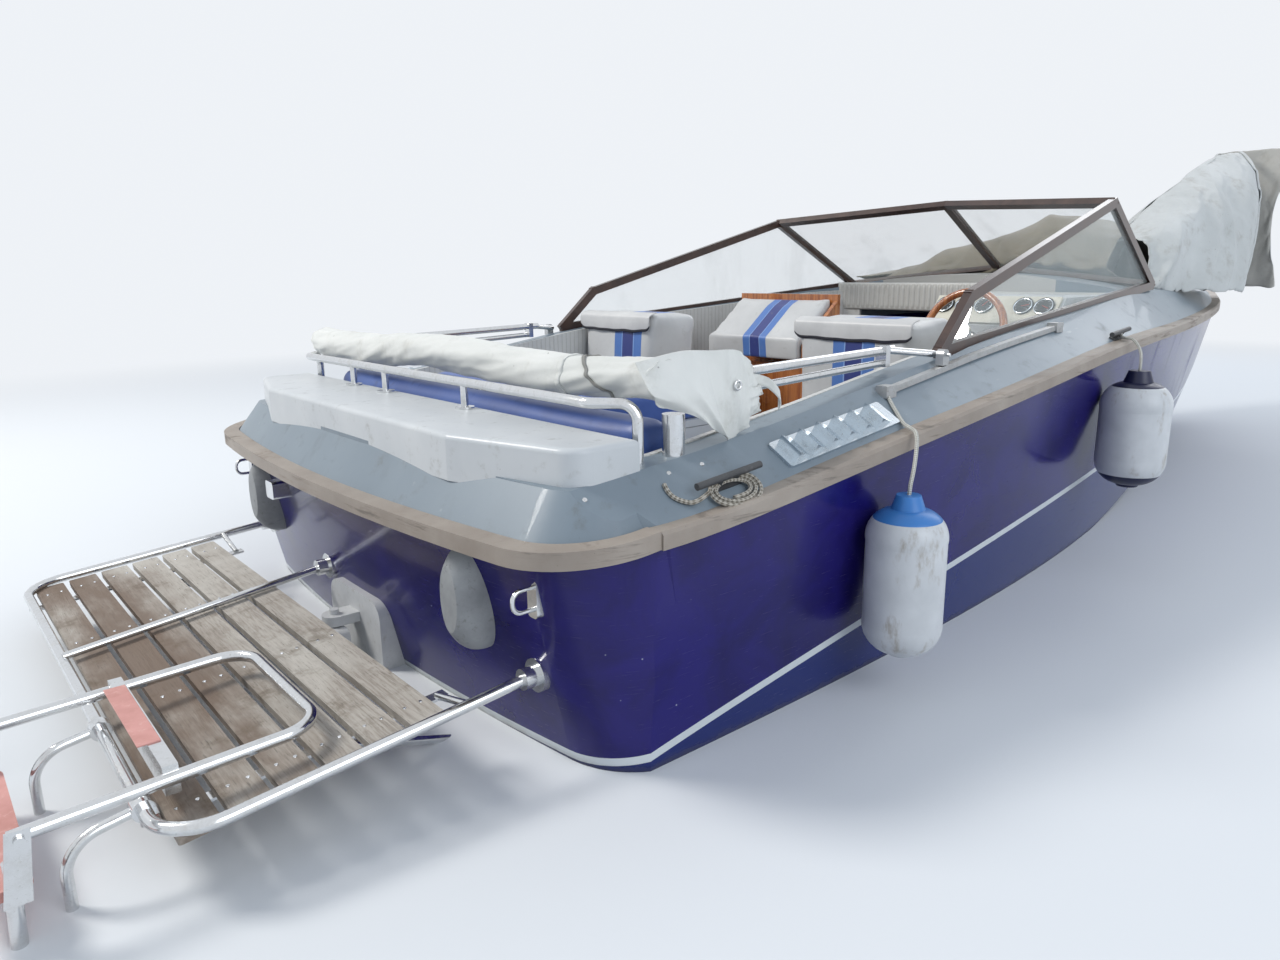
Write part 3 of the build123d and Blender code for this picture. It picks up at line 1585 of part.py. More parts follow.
for name, neighbours in (
    ("lanyard_aft", (hood_tracks.part, fender_solids["fender_aft"])),
    ("lanyard_fore", (cleats.part, fender_solids["fender_fore"])),
):
    points = [Vector(x, -y, z) for x, y, z in lanyard_routes[name]]
    radii = cord_corners(points)
    print(name, "bends", [round(radius) for radius in radii])
    with BuildPart() as cord:
        bent_tube(points, radii, lanyard)
        length = cord.part.volume / (pi * lanyard**2 / 4)
        for neighbour in neighbours:
            add(neighbour, mode=Mode.SUBTRACT)
    print(name, "solids", len(cord.solids()), "length", round(length), "volume", round(cord.part.volume))
    save(cord, name)
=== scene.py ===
# %% [markdown]
# A moored speedboat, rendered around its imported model. The rigid pieces keep the solids of
# that model and get finishes here, and the soft ones are modelled again as cloth and
# cushions. Everything is in metres: +X to the bow, +Y to port, +Z up, water at height 0.

# %% The frame
import json
from math import cos, pi, radians, sin

import bmesh
import bpy
from mathutils import Euler, Matrix, Vector, noise


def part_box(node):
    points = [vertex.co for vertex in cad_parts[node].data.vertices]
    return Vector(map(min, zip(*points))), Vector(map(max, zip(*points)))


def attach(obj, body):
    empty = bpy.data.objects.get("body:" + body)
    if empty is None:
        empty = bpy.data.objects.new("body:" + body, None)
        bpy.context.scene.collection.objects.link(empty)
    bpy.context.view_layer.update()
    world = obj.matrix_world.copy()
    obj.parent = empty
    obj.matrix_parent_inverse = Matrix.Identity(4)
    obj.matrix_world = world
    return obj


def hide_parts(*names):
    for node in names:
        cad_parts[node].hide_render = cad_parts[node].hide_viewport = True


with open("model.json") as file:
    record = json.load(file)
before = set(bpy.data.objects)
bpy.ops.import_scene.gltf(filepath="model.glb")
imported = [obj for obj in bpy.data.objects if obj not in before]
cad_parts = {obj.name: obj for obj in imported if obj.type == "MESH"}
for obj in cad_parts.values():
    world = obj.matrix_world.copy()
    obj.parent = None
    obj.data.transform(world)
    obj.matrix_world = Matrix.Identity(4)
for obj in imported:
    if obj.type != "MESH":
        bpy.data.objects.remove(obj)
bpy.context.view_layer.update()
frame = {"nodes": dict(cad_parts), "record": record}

NODES = frame["nodes"]

# %% [markdown]
# The camera stands just astern of the starboard quarter, a little over a metre above the
# water, with a wide lens. Its place, its turn and its lens were worked out from points of
# the boat whose place is known, so the render can be laid over the photograph.

# %% The camera
camera_data = bpy.data.cameras.new("camera")
camera_data.lens = 24.95
camera_data.sensor_width = 36
camera_data.clip_start = 0.02
camera = bpy.data.objects.new("camera", camera_data)
camera.location = (-0.907, -2.32, 1.053)
camera.rotation_euler = Euler([radians(angle) for angle in (76.698, 0.729, -40.687)])
bpy.context.scene.collection.objects.link(camera)
bpy.context.scene.camera = camera
bpy.context.scene.view_settings.view_transform = "Standard"
print("camera", camera.location, "lens", camera_data.lens)

# %% [markdown]
# Light for a study of materials is broad and plain. One large warm lamp stands high over
# the port quarter where the sun is in the photograph, two paler ones fill the shadows, and
# the world is an even pale blue that metal and gelcoat can mirror.


# %% The lights
def area_lamp(name, place, width, power, colour):
    """A large square lamp that faces the middle of the boat."""
    data = bpy.data.lights.new(name, "AREA")
    data.size = width
    data.energy = power
    data.color = colour
    lamp = bpy.data.objects.new(name, data)
    lamp.location = place
    lamp.rotation_euler = (BOAT_MIDDLE - Vector(place)).to_track_quat("-Z", "Y").to_euler()
    bpy.context.scene.collection.objects.link(lamp)


BOAT_MIDDLE = Vector((2.4, 0, 0.6))
# Columns: place, width in metres, power in watts, colour.
LAMPS = {
    "sun_side": ((-5.0, 5.5, 8.0), 3.0, 900, (1.0, 0.97, 0.92)),
    "dock_side": ((1.0, -9.0, 5.0), 7.0, 420, (0.92, 0.96, 1.0)),
    "bow_side": ((11.0, 1.0, 6.0), 6.0, 260, (0.95, 0.97, 1.0))}
for name, columns in LAMPS.items():
    area_lamp(name, *columns)
print("lamps", *LAMPS)

# %% [markdown]
# A material is a small network of nodes. Written out, each sum needs three or four lines,
# so one class wraps a socket and turns `a * b + c` into Math nodes, and another class
# holds the network of one finish and makes any other node with a single method.


# %% Sockets as numbers
class Port:
    """An output socket that can be added, multiplied and compared like a number."""

    def __init__(self, finish, socket):
        self.finish = finish
        self.socket = socket

    def _math(self, operation, first, second=0.0, clamp=False):
        settings = {"operation": operation, "use_clamp": clamp}
        return self.finish.node("ShaderNodeMath", settings, {0: first, 1: second})

    def __rsub__(self, other):
        return self._math("SUBTRACT", other, self)

    def clamp(self):
        return self._math("ADD", self, 0.0, True)

    def step(self, low, high):
        """0 under low, 1 over high and smooth between them."""
        settings = {"interpolation_type": "SMOOTHSTEP"}
        return self.finish.node("ShaderNodeMapRange", settings, {0: self, 1: low, 2: high})


def operator(operation):
    """A method that puts a port, and a second number if there is one, into a Math node."""
    return lambda port, other=0.0: port._math(operation, port, other)


# The last three are the size without a sign, the sine, and the part after the decimal point.
for method, operation in {
        "__add__": "ADD", "__radd__": "ADD", "__sub__": "SUBTRACT", "__mul__": "MULTIPLY",
        "__rmul__": "MULTIPLY", "__truediv__": "DIVIDE", "__gt__": "GREATER_THAN", "__lt__": "LESS_THAN",
        "size": "ABSOLUTE", "wave": "SINE", "repeat": "FRACT"}.items():
    setattr(Port, method, operator(operation))


# %% [markdown]
# A finish starts from one colour, lays shades over it by their share and ends with its
# roughness and a bump. Its sizes are in the boat's metres, or in those of its UV map.


# %% The class of a finish
class Finish:
    """One material: its network, its shader and the node that makes anything."""

    def __init__(self, name, colour, roughness, metallic=0.0, **fixed):
        self.material = bpy.data.materials.new(name)
        self.material.use_nodes = True
        self.tree = self.material.node_tree
        self.shader = self.tree.nodes["Principled BSDF"]
        self.colour = (*colour, 1)
        self.put("Base Color", self.colour)
        self.put("Roughness", roughness)
        self.put("Metallic", metallic)
        for socket, value in fixed.items():
            self.put(socket.replace("_", " "), value)
        coordinates = self.tree.nodes.new("ShaderNodeTexCoord")
        self.place = Port(self, coordinates.outputs["Object"])
        self.uv = Port(self, coordinates.outputs["UV"])

    def put(self, socket, value):
        """Sets a socket of the shader, or links it where the value comes from a node."""
        self._feed(self.shader.inputs[socket], value)

    def _feed(self, target, value):
        if isinstance(value, Port):
            self.tree.links.new(value.socket, target)
        else:
            target.default_value = value

    def node(self, kind, settings=(), sockets=(), out=0):
        made = self.tree.nodes.new(kind)
        for key, value in dict(settings).items():
            setattr(made, key, value)
        for key, value in dict(sockets).items():
            self._feed(made.inputs[key], value)
        return Port(self, made.outputs[out])

    def axes(self, vector=None):
        """The three coordinates of a point as separate numbers."""
        split = self.node("ShaderNodeSeparateXYZ", (), {0: vector or self.place})
        return [Port(self, split.socket.node.outputs[index]) for index in range(3)]

    def grain(self, scale, detail=4.0, rough=0.55, stretch=None, distortion=0.0):
        """Noise, drawn out along the axes where there is a stretch."""
        place = self.place
        if stretch:
            place = self.node("ShaderNodeMapping", (), {"Vector": place, "Scale": stretch})
        sockets = {"Vector": place, "Scale": scale, "Detail": detail, "Roughness": rough}
        sockets["Distortion"] = distortion
        return self.node("ShaderNodeTexNoise", (), sockets)

    def cells(self, scale, feature="F1"):
        return self.node("ShaderNodeTexVoronoi", {"feature": feature}, {"Vector": self.place, "Scale": scale})

    def specks(self, scale, low, high):
        """1 in the middle of each cell, fading to 0 around it."""
        return 1 - self.cells(scale).step(low, high)

    def ramp(self, value, *stops):
        """Starts the colour from a number and the shades at its stops."""
        self.colour = self.node("ShaderNodeValToRGB", (), {0: value})
        elements = self.colour.socket.node.color_ramp.elements
        while len(elements) < len(stops):
            elements.new(0.5)
        for element, (position, shade) in zip(elements, stops):
            element.position = position
            element.color = (*shade, 1)

    def over(self, share, shade):
        """Lays a shade over the colour so far, as much of it as the share says."""
        sockets = {0: share, 6: self.colour, 7: (*shade, 1)}
        self.colour = self.node("ShaderNodeMix", {"data_type": "RGBA"}, sockets, 2)

    def done(self, roughness, height, strength, distance):
        """The material, with its colour, its roughness and a bump from a height."""
        sockets = {"Strength": strength, "Distance": distance, "Height": height}
        self.put("Base Color", self.colour)
        self.put("Roughness", roughness)
        self.put("Normal", self.node("ShaderNodeBump", (), sockets))
        return self.material


# %% [markdown]
# The studio floor stands for the water at the height of the waterline. Close to the boat it
# is pale and plain and takes the boat's shadow. Farther off it fades into the backdrop's own
# white, so there is no horizon. A Light Path node gives the world that white only where the
# camera, a mirror or glass looks at it, and so it pours no more light on the boat.


# %% The floor and the world
def wire(tree, *pairs):
    """Links each output to its input."""
    for source, target in pairs:
        tree.links.new(source, target)


BACKDROP = (0.86, 0.89, 0.93, 1)
FADE_CENTRE = 1.5
# The squares of the distances between which the floor fades, in square metres.
FADE_START, FADE_END = 20, 110
SKY_TINT, SKY_STRENGTH = (0.80, 0.88, 1.0, 1), 0.55
floor_finish = Finish("studio_floor", (0.70, 0.725, 0.75), 0.7)
floor_finish.put("Specular IOR Level", 0.1)
tree = floor_finish.tree
glow = tree.nodes.new("ShaderNodeEmission")
glow.inputs["Color"].default_value = BACKDROP
fade = tree.nodes.new("ShaderNodeMixShader")
across, along, _ = floor_finish.axes()
far = ((across - FADE_CENTRE) * (across - FADE_CENTRE) + along * along).step(FADE_START, FADE_END)
eye = floor_finish.node("ShaderNodeLightPath")
paths = eye.socket.node.outputs
mirrored, through = [Port(floor_finish, paths[ray]) for ray in ("Is Glossy Ray", "Is Transmission Ray")]
seen = (eye + mirrored + through).clamp()
wire(tree, ((far * seen).socket, fade.inputs[0]), (floor_finish.shader.outputs[0], fade.inputs[1]),
     (glow.outputs[0], fade.inputs[2]), (fade.outputs[0], tree.nodes["Material Output"].inputs["Surface"]))
bpy.ops.mesh.primitive_plane_add(size=60, location=(2, 0, 0))
floor = bpy.context.object
floor.name = "studio_floor"
floor.data.materials.append(floor_finish.material)
world = bpy.data.worlds.new("studio")
world.use_nodes = True
bpy.context.scene.world = world
sky = world.node_tree
background = sky.nodes["Background"]
background.inputs["Color"].default_value = SKY_TINT
background.inputs["Strength"].default_value = SKY_STRENGTH
rays = sky.nodes.new("ShaderNodeLightPath").outputs
white = sky.nodes.new("ShaderNodeBackground")
white.inputs["Color"].default_value = BACKDROP
seen = rays["Is Camera Ray"]
for ray in ("Is Glossy Ray", "Is Transmission Ray"):
    either = sky.nodes.new("ShaderNodeMath")
    either.operation = "MAXIMUM"
    wire(sky, (seen, either.inputs[0]), (rays[ray], either.inputs[1]))
    seen = either.outputs[0]
mixer = sky.nodes.new("ShaderNodeMixShader")
wire(sky, (seen, mixer.inputs[0]), (background.outputs[0], mixer.inputs[1]),
     (white.outputs[0], mixer.inputs[2]), (mixer.outputs[0], sky.nodes["World Output"].inputs["Surface"]))
print("finish class ready, floor and sky in place")

# %% [markdown]
# Gelcoat is a thick gloss layer over coloured resin. On the dark hull it shows as a deep
# tone with a sharp mirror on top, dulled by a film of salt above the water, streaks that
# run down from the rail and a pale boot stripe. Noise that is stretched upwards gives the
# streaks, and the height above the water gives the stripe and the scum line.


# %% Gelcoat of the hull and the deck
# The boot stripe's height at the transom, how far it climbs towards the bow, how fast the
# climb flattens and how wide the stripe is.
STRIPE_FOOT, STRIPE_CLIMB, STRIPE_RATE, STRIPE_WIDTH = 0.012, 0.42, 0.4545, 0.021


def hull_finish():
    paint = Finish("hull_gelcoat", (0.006, 0.008, 0.10), 0.2, Coat_IOR=1.45, Coat_Roughness=0.08,
                   Specular_IOR_Level=0.25)
    x, _, z = paint.axes()
    cloud = paint.grain(2.3, 5)
    patch = paint.grain(5.5, 7, 0.6, distortion=0.8)
    streak = paint.grain(9.0, 6, stretch=(1, 1, 0.06))
    dust = (streak.step(0.52, 0.80) * cloud.step(0.35, 0.7) * z.step(0.05, 0.5)).clamp()
    paint.ramp(patch, (0.30, (0.0065, 0.0040, 0.070)), (0.62, (0.0120, 0.0075, 0.130)))
    paint.over(dust * 0.10, (0.16, 0.17, 0.34))
    chips = paint.specks(21, 0.025, 0.055) * paint.grain(2.8, 3).step(0.55, 0.60)
    paint.over(chips * 0.8, (0.50, 0.53, 0.58))
    rise = paint.node("ShaderNodeMath", {"operation": "EXPONENT"}, {0: (x - 0.15) * -STRIPE_RATE})
    level = (1 - rise) * STRIPE_CLIMB + STRIPE_FOOT
    waver = z - level + (paint.grain(1.7, 2) - 0.5) * 0.004
    # Under the boot stripe the hull's own mid blue is darkened to a deep indigo: its own paint with painted
    # shade.
    paint.over((waver < 0.0) * 1.0, (0.010, 0.020, 0.130))
    paint.over((waver > 0.0) * (waver < STRIPE_WIDTH), (0.60, 0.64, 0.66))
    scum = 1 - (z + paint.grain(26, 5) * 0.03).step(0.004, 0.04)
    paint.over(scum * 0.6, (0.075, 0.070, 0.045))
    antifoul = 1 - z.step(-0.02, -0.004)
    paint.over(antifoul, (0.030, 0.036, 0.060))
    scratch = paint.grain(60, 8, 0.7, (0.25, 0.25, 5.0))
    matt = antifoul * 0.35 + scum * 0.25
    paint.put("Coat Weight", (0.22 - matt - dust * 0.2).clamp())
    return paint.done(0.20 + dust * 0.20 + scratch.step(0.58, 0.66) * 0.10 + matt,
                      cloud * 0.4 + scratch.step(0.6, 0.66) * -0.02, 0.35, 0.0012)


def deck_finish():
    paint = Finish("deck_gelcoat", (0.26, 0.33, 0.40), 0.4, Specular_IOR_Level=0.35)
    x, y, z = paint.axes()
    cloud = paint.grain(1.8, 6)
    stain = paint.grain(14, 8, 0.65)
    drip = paint.grain(11, 5, stretch=(1, 1, 0.12))
    paint.ramp(cloud, (0.32, (0.165, 0.208, 0.248)), (0.68, (0.215, 0.262, 0.302)))
    marks = (stain.step(0.56, 0.74) * 0.45 + drip.step(0.58, 0.78) * 0.30).clamp()
    paint.over(marks, (0.130, 0.138, 0.135))
    gaps = paint.grain(3.3, 3).step(0.52, 0.60)
    paint.over(paint.specks(95, 0.035, 0.085) * gaps * 0.7, (0.075, 0.075, 0.070))
    smear = paint.grain(30, 6, 0.7, (0.3, 1, 1)).step(0.62, 0.70) * gaps
    paint.over(smear * 0.5, (0.34, 0.38, 0.41))
    within = (x > 3.0) * (x + y.size() * 0.62 < 3.43) * (y.size() < 0.76) * (z > 0.6)
    paint.put("Coat Weight", (0.14 - marks * 0.14).clamp())
    paint.over(within, (0.40, 0.40, 0.385))
    return paint.done(0.38 + marks * 0.25 + cloud * 0.08, paint.grain(420, 2) * 0.3 + cloud, 0.25, 0.0010)


def moulding_finish():
    paint = Finish("light_moulding", (0.56, 0.585, 0.60), 0.38, Specular_IOR_Level=0.35)
    cloud = paint.grain(3.1, 6)
    stain = paint.grain(21, 8, 0.68)
    paint.ramp(cloud, (0.3, (0.50, 0.525, 0.545)), (0.7, (0.60, 0.62, 0.63)))
    marks = stain.step(0.56, 0.72)
    paint.over(marks * 0.42, (0.33, 0.33, 0.31))
    paint.over(paint.specks(38, 0.03, 0.06) * stain.step(0.4, 0.6) * 0.6, (0.18, 0.17, 0.15))
    return paint.done(0.33 + marks * 0.25, paint.grain(300, 2) + cloud * 2, 0.2, 0.0008)


finishes = {"hull_gelcoat": hull_finish(), "deck_gelcoat": deck_finish(), "moulding": moulding_finish()}
print("gelcoat finishes", sorted(finishes))

# %% [markdown]
# The rubbing strake is a fat strip of beige plastic. Years of piers have chalked it, left
# dark scuffs along its crown and brought dirt into the lower edge.


# %% Strake, plastics and fenders
def strake_finish():
    paint = Finish("beige_strake", (0.46, 0.41, 0.36), 0.55)
    cloud = paint.grain(6, 7, 0.6)
    long_scuff = paint.grain(18, 8, 0.7, (0.22, 0.22, 3.0))
    paint.ramp(cloud, (0.28, (0.245, 0.205, 0.172)), (0.72, (0.345, 0.300, 0.258)))
    paint.over(long_scuff.step(0.55, 0.66) * 0.7, (0.125, 0.108, 0.095))
    pits = paint.specks(70, 0.04, 0.10)
    paint.over(pits * 0.5, (0.12, 0.105, 0.09))
    height = cloud + long_scuff * 0.8 - pits * 0.4
    return paint.done(0.48 + long_scuff.step(0.5, 0.66) * 0.25, height, 0.5, 0.0025)


def plastic_finish(name, dark, light, rough, worn, texture):
    """Moulded plastic with a fine grain and worn patches."""
    paint = Finish(name, light, rough)
    cloud = paint.grain(9, 6, 0.6)
    wear = paint.grain(46, 7, 0.7).step(0.55, 0.72)
    paint.ramp(cloud, (0.3, dark), (0.7, light))
    paint.over(wear * 0.55, worn)
    return paint.done(rough + wear * 0.18 + cloud * 0.06, paint.grain(texture, 2) + cloud, 0.3, 0.0008)


finishes["strake"] = strake_finish()
# Columns: darker tone, lighter tone, roughness, worn tone, size of the grain.
PLASTICS = {
    "dark_plastic": ((0.030, 0.031, 0.034), (0.062, 0.064, 0.068), 0.46, (0.15, 0.15, 0.15), 380),
    "shell_plastic": ((0.20, 0.21, 0.22), (0.34, 0.355, 0.365), 0.5, (0.11, 0.105, 0.10), 380),
    "tread_plastic": ((0.46, 0.20, 0.17), (0.66, 0.33, 0.30), 0.5, (0.72, 0.47, 0.42), 380),
    "engine_paint": ((0.05, 0.055, 0.06), (0.10, 0.105, 0.11), 0.5, (0.16, 0.11, 0.07), 380),
    "drive_paint": ((0.47, 0.48, 0.49), (0.62, 0.63, 0.63), 0.34, (0.36, 0.34, 0.30), 380),
    "cream_plate": ((0.56, 0.54, 0.45), (0.70, 0.68, 0.58), 0.32, (0.40, 0.36, 0.27), 500),
    "gauge_black": ((0.004, 0.004, 0.005), (0.010, 0.010, 0.011), 0.5, (0.02, 0.02, 0.02), 500),
    "white_paint": ((0.62, 0.63, 0.63), (0.76, 0.77, 0.77), 0.4, (0.5, 0.49, 0.46), 380),
    "needle_red": ((0.5, 0.03, 0.015), (0.62, 0.05, 0.02), 0.4, (0.4, 0.06, 0.04), 380)}
for name, columns in PLASTICS.items():
    finishes[name] = plastic_finish(name, *columns)


def fender_finish(name, cap, cap_low, cap_high):
    """Pale vinyl with caps of another colour below and above the two heights."""
    skin = Finish(name, (0.58, 0.60, 0.62), 0.34, Specular_IOR_Level=0.4)
    z = skin.axes()[2]
    cloud = skin.grain(9, 6)
    stain = skin.grain(16, 7, 0.68, (1, 1, 0.4)).step(0.53, 0.70)
    skin.ramp(cloud, (0.3, (0.50, 0.52, 0.54)), (0.7, (0.62, 0.64, 0.66)))
    skin.over(stain * 0.7, (0.27, 0.225, 0.165))
    skin.over(((z < cap_low) + (z > cap_high)).clamp(), cap)
    return skin.done(0.34 + stain * 0.2, cloud + (z - cap_high).size().step(0.0, 0.004) * 0.8, 0.4, 0.0012)


finishes["fender_vinyl"] = fender_finish("aft_fender", (0.045, 0.19, 0.50), 0.0, 0.462)
finishes["fore_fender"] = fender_finish("fore_fender", (0.010, 0.013, 0.045), 0.352, 0.650)
print("plastics", *PLASTICS)

# %% [markdown]
# Bare metal is told apart by its roughness: mirror steel on the rails, dull anodised
# aluminium on the hood tracks, and brown stoved paint on the windshield. A thin haze of
# salt keeps the steel from looking new.


# %% Metal and glass
def metal_finish(name, tint, rough, haze_tint, haze, brush=None):
    metal = Finish(name, tint, rough, 1.0)
    cloud = metal.grain(24, 7, 0.65)
    spots = metal.grain(160, 4, 0.6).step(0.60, 0.72)
    film = (cloud.step(0.42, 0.75) * haze + spots * haze).clamp()
    metal.put("Metallic", 1 - film * 0.45)
    lines = metal.grain(90, 3, 0.55, brush) if brush else metal.grain(260, 2)
    metal.over(film, haze_tint)
    return metal.done(rough + film * 0.35, lines, 0.12, 0.0004)


# Columns: tint, roughness, tint of the haze, how much of it, and the way of the brush marks.
METALS = {
    "polished_steel": ((0.70, 0.71, 0.72), 0.13, (0.42, 0.40, 0.36), 0.32),
    "vent_chrome": ((0.66, 0.72, 0.77), 0.18, (0.40, 0.42, 0.42), 0.4),
    "grey_aluminium": ((0.50, 0.51, 0.52), 0.36, (0.30, 0.29, 0.27), 0.5, (0.05, 1, 1))}
for name, columns in METALS.items():
    finishes[name] = metal_finish(name, *columns)


def brown_frame_finish():
    paint = Finish("brown_aluminium", (0.040, 0.020, 0.014), 0.28, Coat_Roughness=0.2)
    cloud = paint.grain(20, 6)
    chips = paint.grain(75, 8, 0.75).step(0.66, 0.70)
    paint.ramp(cloud, (0.3, (0.030, 0.013, 0.010)), (0.7, (0.060, 0.029, 0.020)))
    paint.put("Metallic", chips * 0.8)
    paint.put("Coat Weight", 0.35)
    paint.over(chips, (0.24, 0.22, 0.20))
    return paint.done(0.24 + cloud * 0.14, paint.grain(200, 2), 0.1, 0.0004)


def glass_finish():
    glass = Finish("clear_glass", (0.86, 0.93, 0.93), 0.02, IOR=1.45)
    smear = glass.grain(5, 7, 0.6, (1, 1, 0.35))
    spots = glass.specks(130, 0.10, 0.22)
    dirt = (smear.step(0.45, 0.75) * 0.5 + spots * glass.grain(12, 3).step(0.48, 0.6) * 0.6).clamp()
    glass.put("Roughness", 0.03 + dirt * 0.25)
    glass.put("Alpha", 0.13 + dirt * 0.16)
    glass.colour = (0.72, 0.80, 0.80, 1)
    glass.over(dirt, (0.66, 0.66, 0.62))
    glass.put("Base Color", glass.colour)
    return glass.material


finishes["brown_aluminium"] = brown_frame_finish()
finishes["clear_glass"] = glass_finish()
print("metals", *METALS, "and glass")

# %% [markdown]
# Wood is the growth rings of a log cut lengthwise. Bands along the plank, bent by noise,
# give the rings, and stretched fine noise gives the pores. The platform's teak is silver
# and furred with dirt, the joinery in the cockpit is orange under thick varnish.


# %% Teak and varnished wood
def teak_finish():
    wood = Finish("weathered_teak", (0.40, 0.36, 0.31), 0.72)
    x = wood.axes()[0]
    bands = (wood.grain(1.0, 5, 0.6, (30, 1.6, 30)) * 9.0).repeat()
    pores = wood.grain(6, 3, 0.8, (60, 3, 60))
    patch = wood.grain(3.2, 6, 0.65)
    wood.ramp(bands, (0.0, (0.27, 0.235, 0.20)), (0.5, (0.43, 0.395, 0.35)), (1.0, (0.33, 0.295, 0.255)))
    wood.over(patch.step(0.35, 0.7), (0.50, 0.475, 0.43))
    dirt = wood.grain(8, 7, 0.7).step(0.52, 0.70)
    oiled = (1 - x.step(-0.46, -0.30)) * wood.grain(5, 5, 0.6, (1, 0.3, 1)).step(0.30, 0.56)
    wood.over(oiled * 0.9, (0.120, 0.074, 0.046))
    wood.over(dirt * 0.62, (0.115, 0.085, 0.055))
    wood.over(pores.step(0.58, 0.68) * 0.65, (0.075, 0.06, 0.045))
    return wood.done(0.64 + dirt * 0.15, pores * -0.6 + bands * 0.25, 0.7, 0.0022)


def varnish_finish():
    wood = Finish("varnished_wood", (0.42, 0.13, 0.03), 0.2, Coat_Roughness=0.06)
    bands = (wood.grain(1.0, 4, 0.55, (18, 18, 1.2)) * 7.0).repeat()
    pores = wood.grain(9, 3, 0.8, (72, 72, 4.8))
    wood.ramp(bands, (0.0, (0.24, 0.065, 0.016)), (0.55, (0.47, 0.165, 0.040)), (1.0, (0.33, 0.095, 0.022)))
    wood.put("Coat Weight", 0.8)
    wood.over(pores.step(0.58, 0.66) * 0.6, (0.10, 0.030, 0.010))
    return wood.done(0.20 + wood.grain(14, 5).step(0.5, 0.8) * 0.25, pores * -0.4, 0.2, 0.0006)


finishes["teak"] = teak_finish()
finishes["varnished_wood"] = varnish_finish()
print("wood ready", len(finishes))

# %% [markdown]
# Marine vinyl is cloth under a skin that is embossed like leather: small rounded cells
# with creases between them. Cell noise gives the emboss, and slow noise gives the yellow
# age marks and the grime that gathers in the seats.


# %% Vinyl
def vinyl_finish(name, dark, light, grime, pitch=None):
    """Embossed vinyl, with sewn ribs along the boat where there is a pitch."""
    skin = Finish(name, light, 0.42, Sheen_Weight=0.15)
    cloud = skin.grain(4, 6, 0.6)
    pebbles = skin.cells(420, feature="SMOOTH_F1")
    spots = skin.grain(16, 8, 0.7).step(0.54, 0.74)
    skin.ramp(cloud, (0.3, dark), (0.7, light))
    height = pebbles * 0.25 + cloud
    if pitch:
        valley = ((skin.axes()[0] / pitch).repeat() - 0.5).size().step(0.36, 0.5)
        skin.over(valley * 0.45, grime)
        height = height - valley * 3.0
    skin.over(spots * 0.5, grime)
    return skin.done(0.42 + spots * 0.15, height, 0.45, 0.0012)


# Columns: darker tone, lighter tone, grime, and the distance between sewn ribs if there are any.
VINYLS = {
    "grey_vinyl": ((0.42, 0.42, 0.415), (0.60, 0.60, 0.585), (0.25, 0.235, 0.20)),
    "blue_vinyl": ((0.028, 0.070, 0.26), (0.055, 0.125, 0.40), (0.03, 0.05, 0.12)),
    "liner_vinyl": ((0.50, 0.505, 0.49), (0.62, 0.62, 0.60), (0.30, 0.285, 0.25), 0.022)}
for name, columns in VINYLS.items():
    finishes[name] = vinyl_finish(name, *columns)
print("vinyls", *VINYLS)

# %% [markdown]
# Cloth reads as cloth through its weave. The two thread directions are sines along the
# sheet's own UV map, which is laid out in metres, and where they cross one thread lies
# over the other. Sheen gives the pale edge that fibres make against the light.


# %% Cloth and rope
def cloth_finish(name, dark, light, stain, pitch, folds):
    """Woven cloth whose threads follow the piece's UV map."""
    cloth = Finish(name, light, 0.82, Sheen_Weight=0.25, Sheen_Roughness=0.5)
    u, v, _ = cloth.axes(cloth.uv)
    weave = (u * (2 * pi / pitch)).wave() * (v * (2 * pi / pitch)).wave()
    cloud = cloth.grain(2.4, 6, 0.6)
    marks = cloth.grain(7.5, 8, 0.68).step(0.52, 0.72)
    rot = cloth.specks(34, 0.03, 0.11)
    speckle = rot * cloth.grain(5, 4).step(0.50, 0.62)
    cloth.ramp(cloud, (0.3, dark), (0.7, light))
    cloth.over(weave.step(-1.0, 1.0) * 0.16, dark)
    cloth.over(marks * 0.42, stain)
    wrinkle = cloth.grain(11, 6, 0.62, distortion=0.6)
    cloth.over(speckle * 0.7, tuple(0.35 * part for part in stain))
    return cloth.done(0.82, weave * 0.05 + wrinkle * (1.0 + folds), 0.5, 0.004)


# Columns: darker tone, lighter tone, stain, distance between threads in metres, extra folds.
CLOTHS = {
    "hood_cloth": ((0.62, 0.63, 0.60), (0.76, 0.765, 0.735), (0.40, 0.39, 0.34), 0.0016, 0.0),
    "hood_lining": ((0.44, 0.43, 0.40), (0.56, 0.55, 0.51), (0.27, 0.25, 0.21), 0.0016, 0.0),
    "hood_strap": ((0.20, 0.20, 0.185), (0.29, 0.285, 0.265), (0.13, 0.12, 0.10), 0.0012, 0.0),
    "cover_cloth": ((0.47, 0.49, 0.48), (0.62, 0.64, 0.635), (0.20, 0.165, 0.115), 0.0022, 1.0),
    "tan_canvas": ((0.30, 0.265, 0.21), (0.46, 0.42, 0.345), (0.16, 0.13, 0.09), 0.0022, 1.2),
    # The last row lines the fold and the near sheet: its dark tones are painted shade for the hollows under
    # the canvas, and its stains are the cloth's own.
    "shade_and_stain_lining": ((0.16, 0.135, 0.095), (0.30, 0.26, 0.19), (0.075, 0.07, 0.045), 0.0022, 1.5)}
for name, columns in CLOTHS.items():
    finishes[name] = cloth_finish(name, *columns)


def rope_finish(name, light, dark):
    """A braid: strands that cross along the rope's own UV map."""
    cord = Finish(name, light, 0.85, Sheen_Weight=0.2)
    u, v, _ = cord.axes(cord.uv)
    twist = v * 6.2832 * 3
    strands = (u * 260 + twist).wave() * (u * 260 - twist).wave()
    dirt = cord.grain(40, 6, 0.7).step(0.45, 0.7)
    cord.colour = (*dark, 1)
    cord.over(strands.step(-0.7, 0.5), light)
    cord.over(dirt * 0.4, dark)
    return cord.done(0.85, strands + cord.grain(220, 3), 0.6, 0.0015)


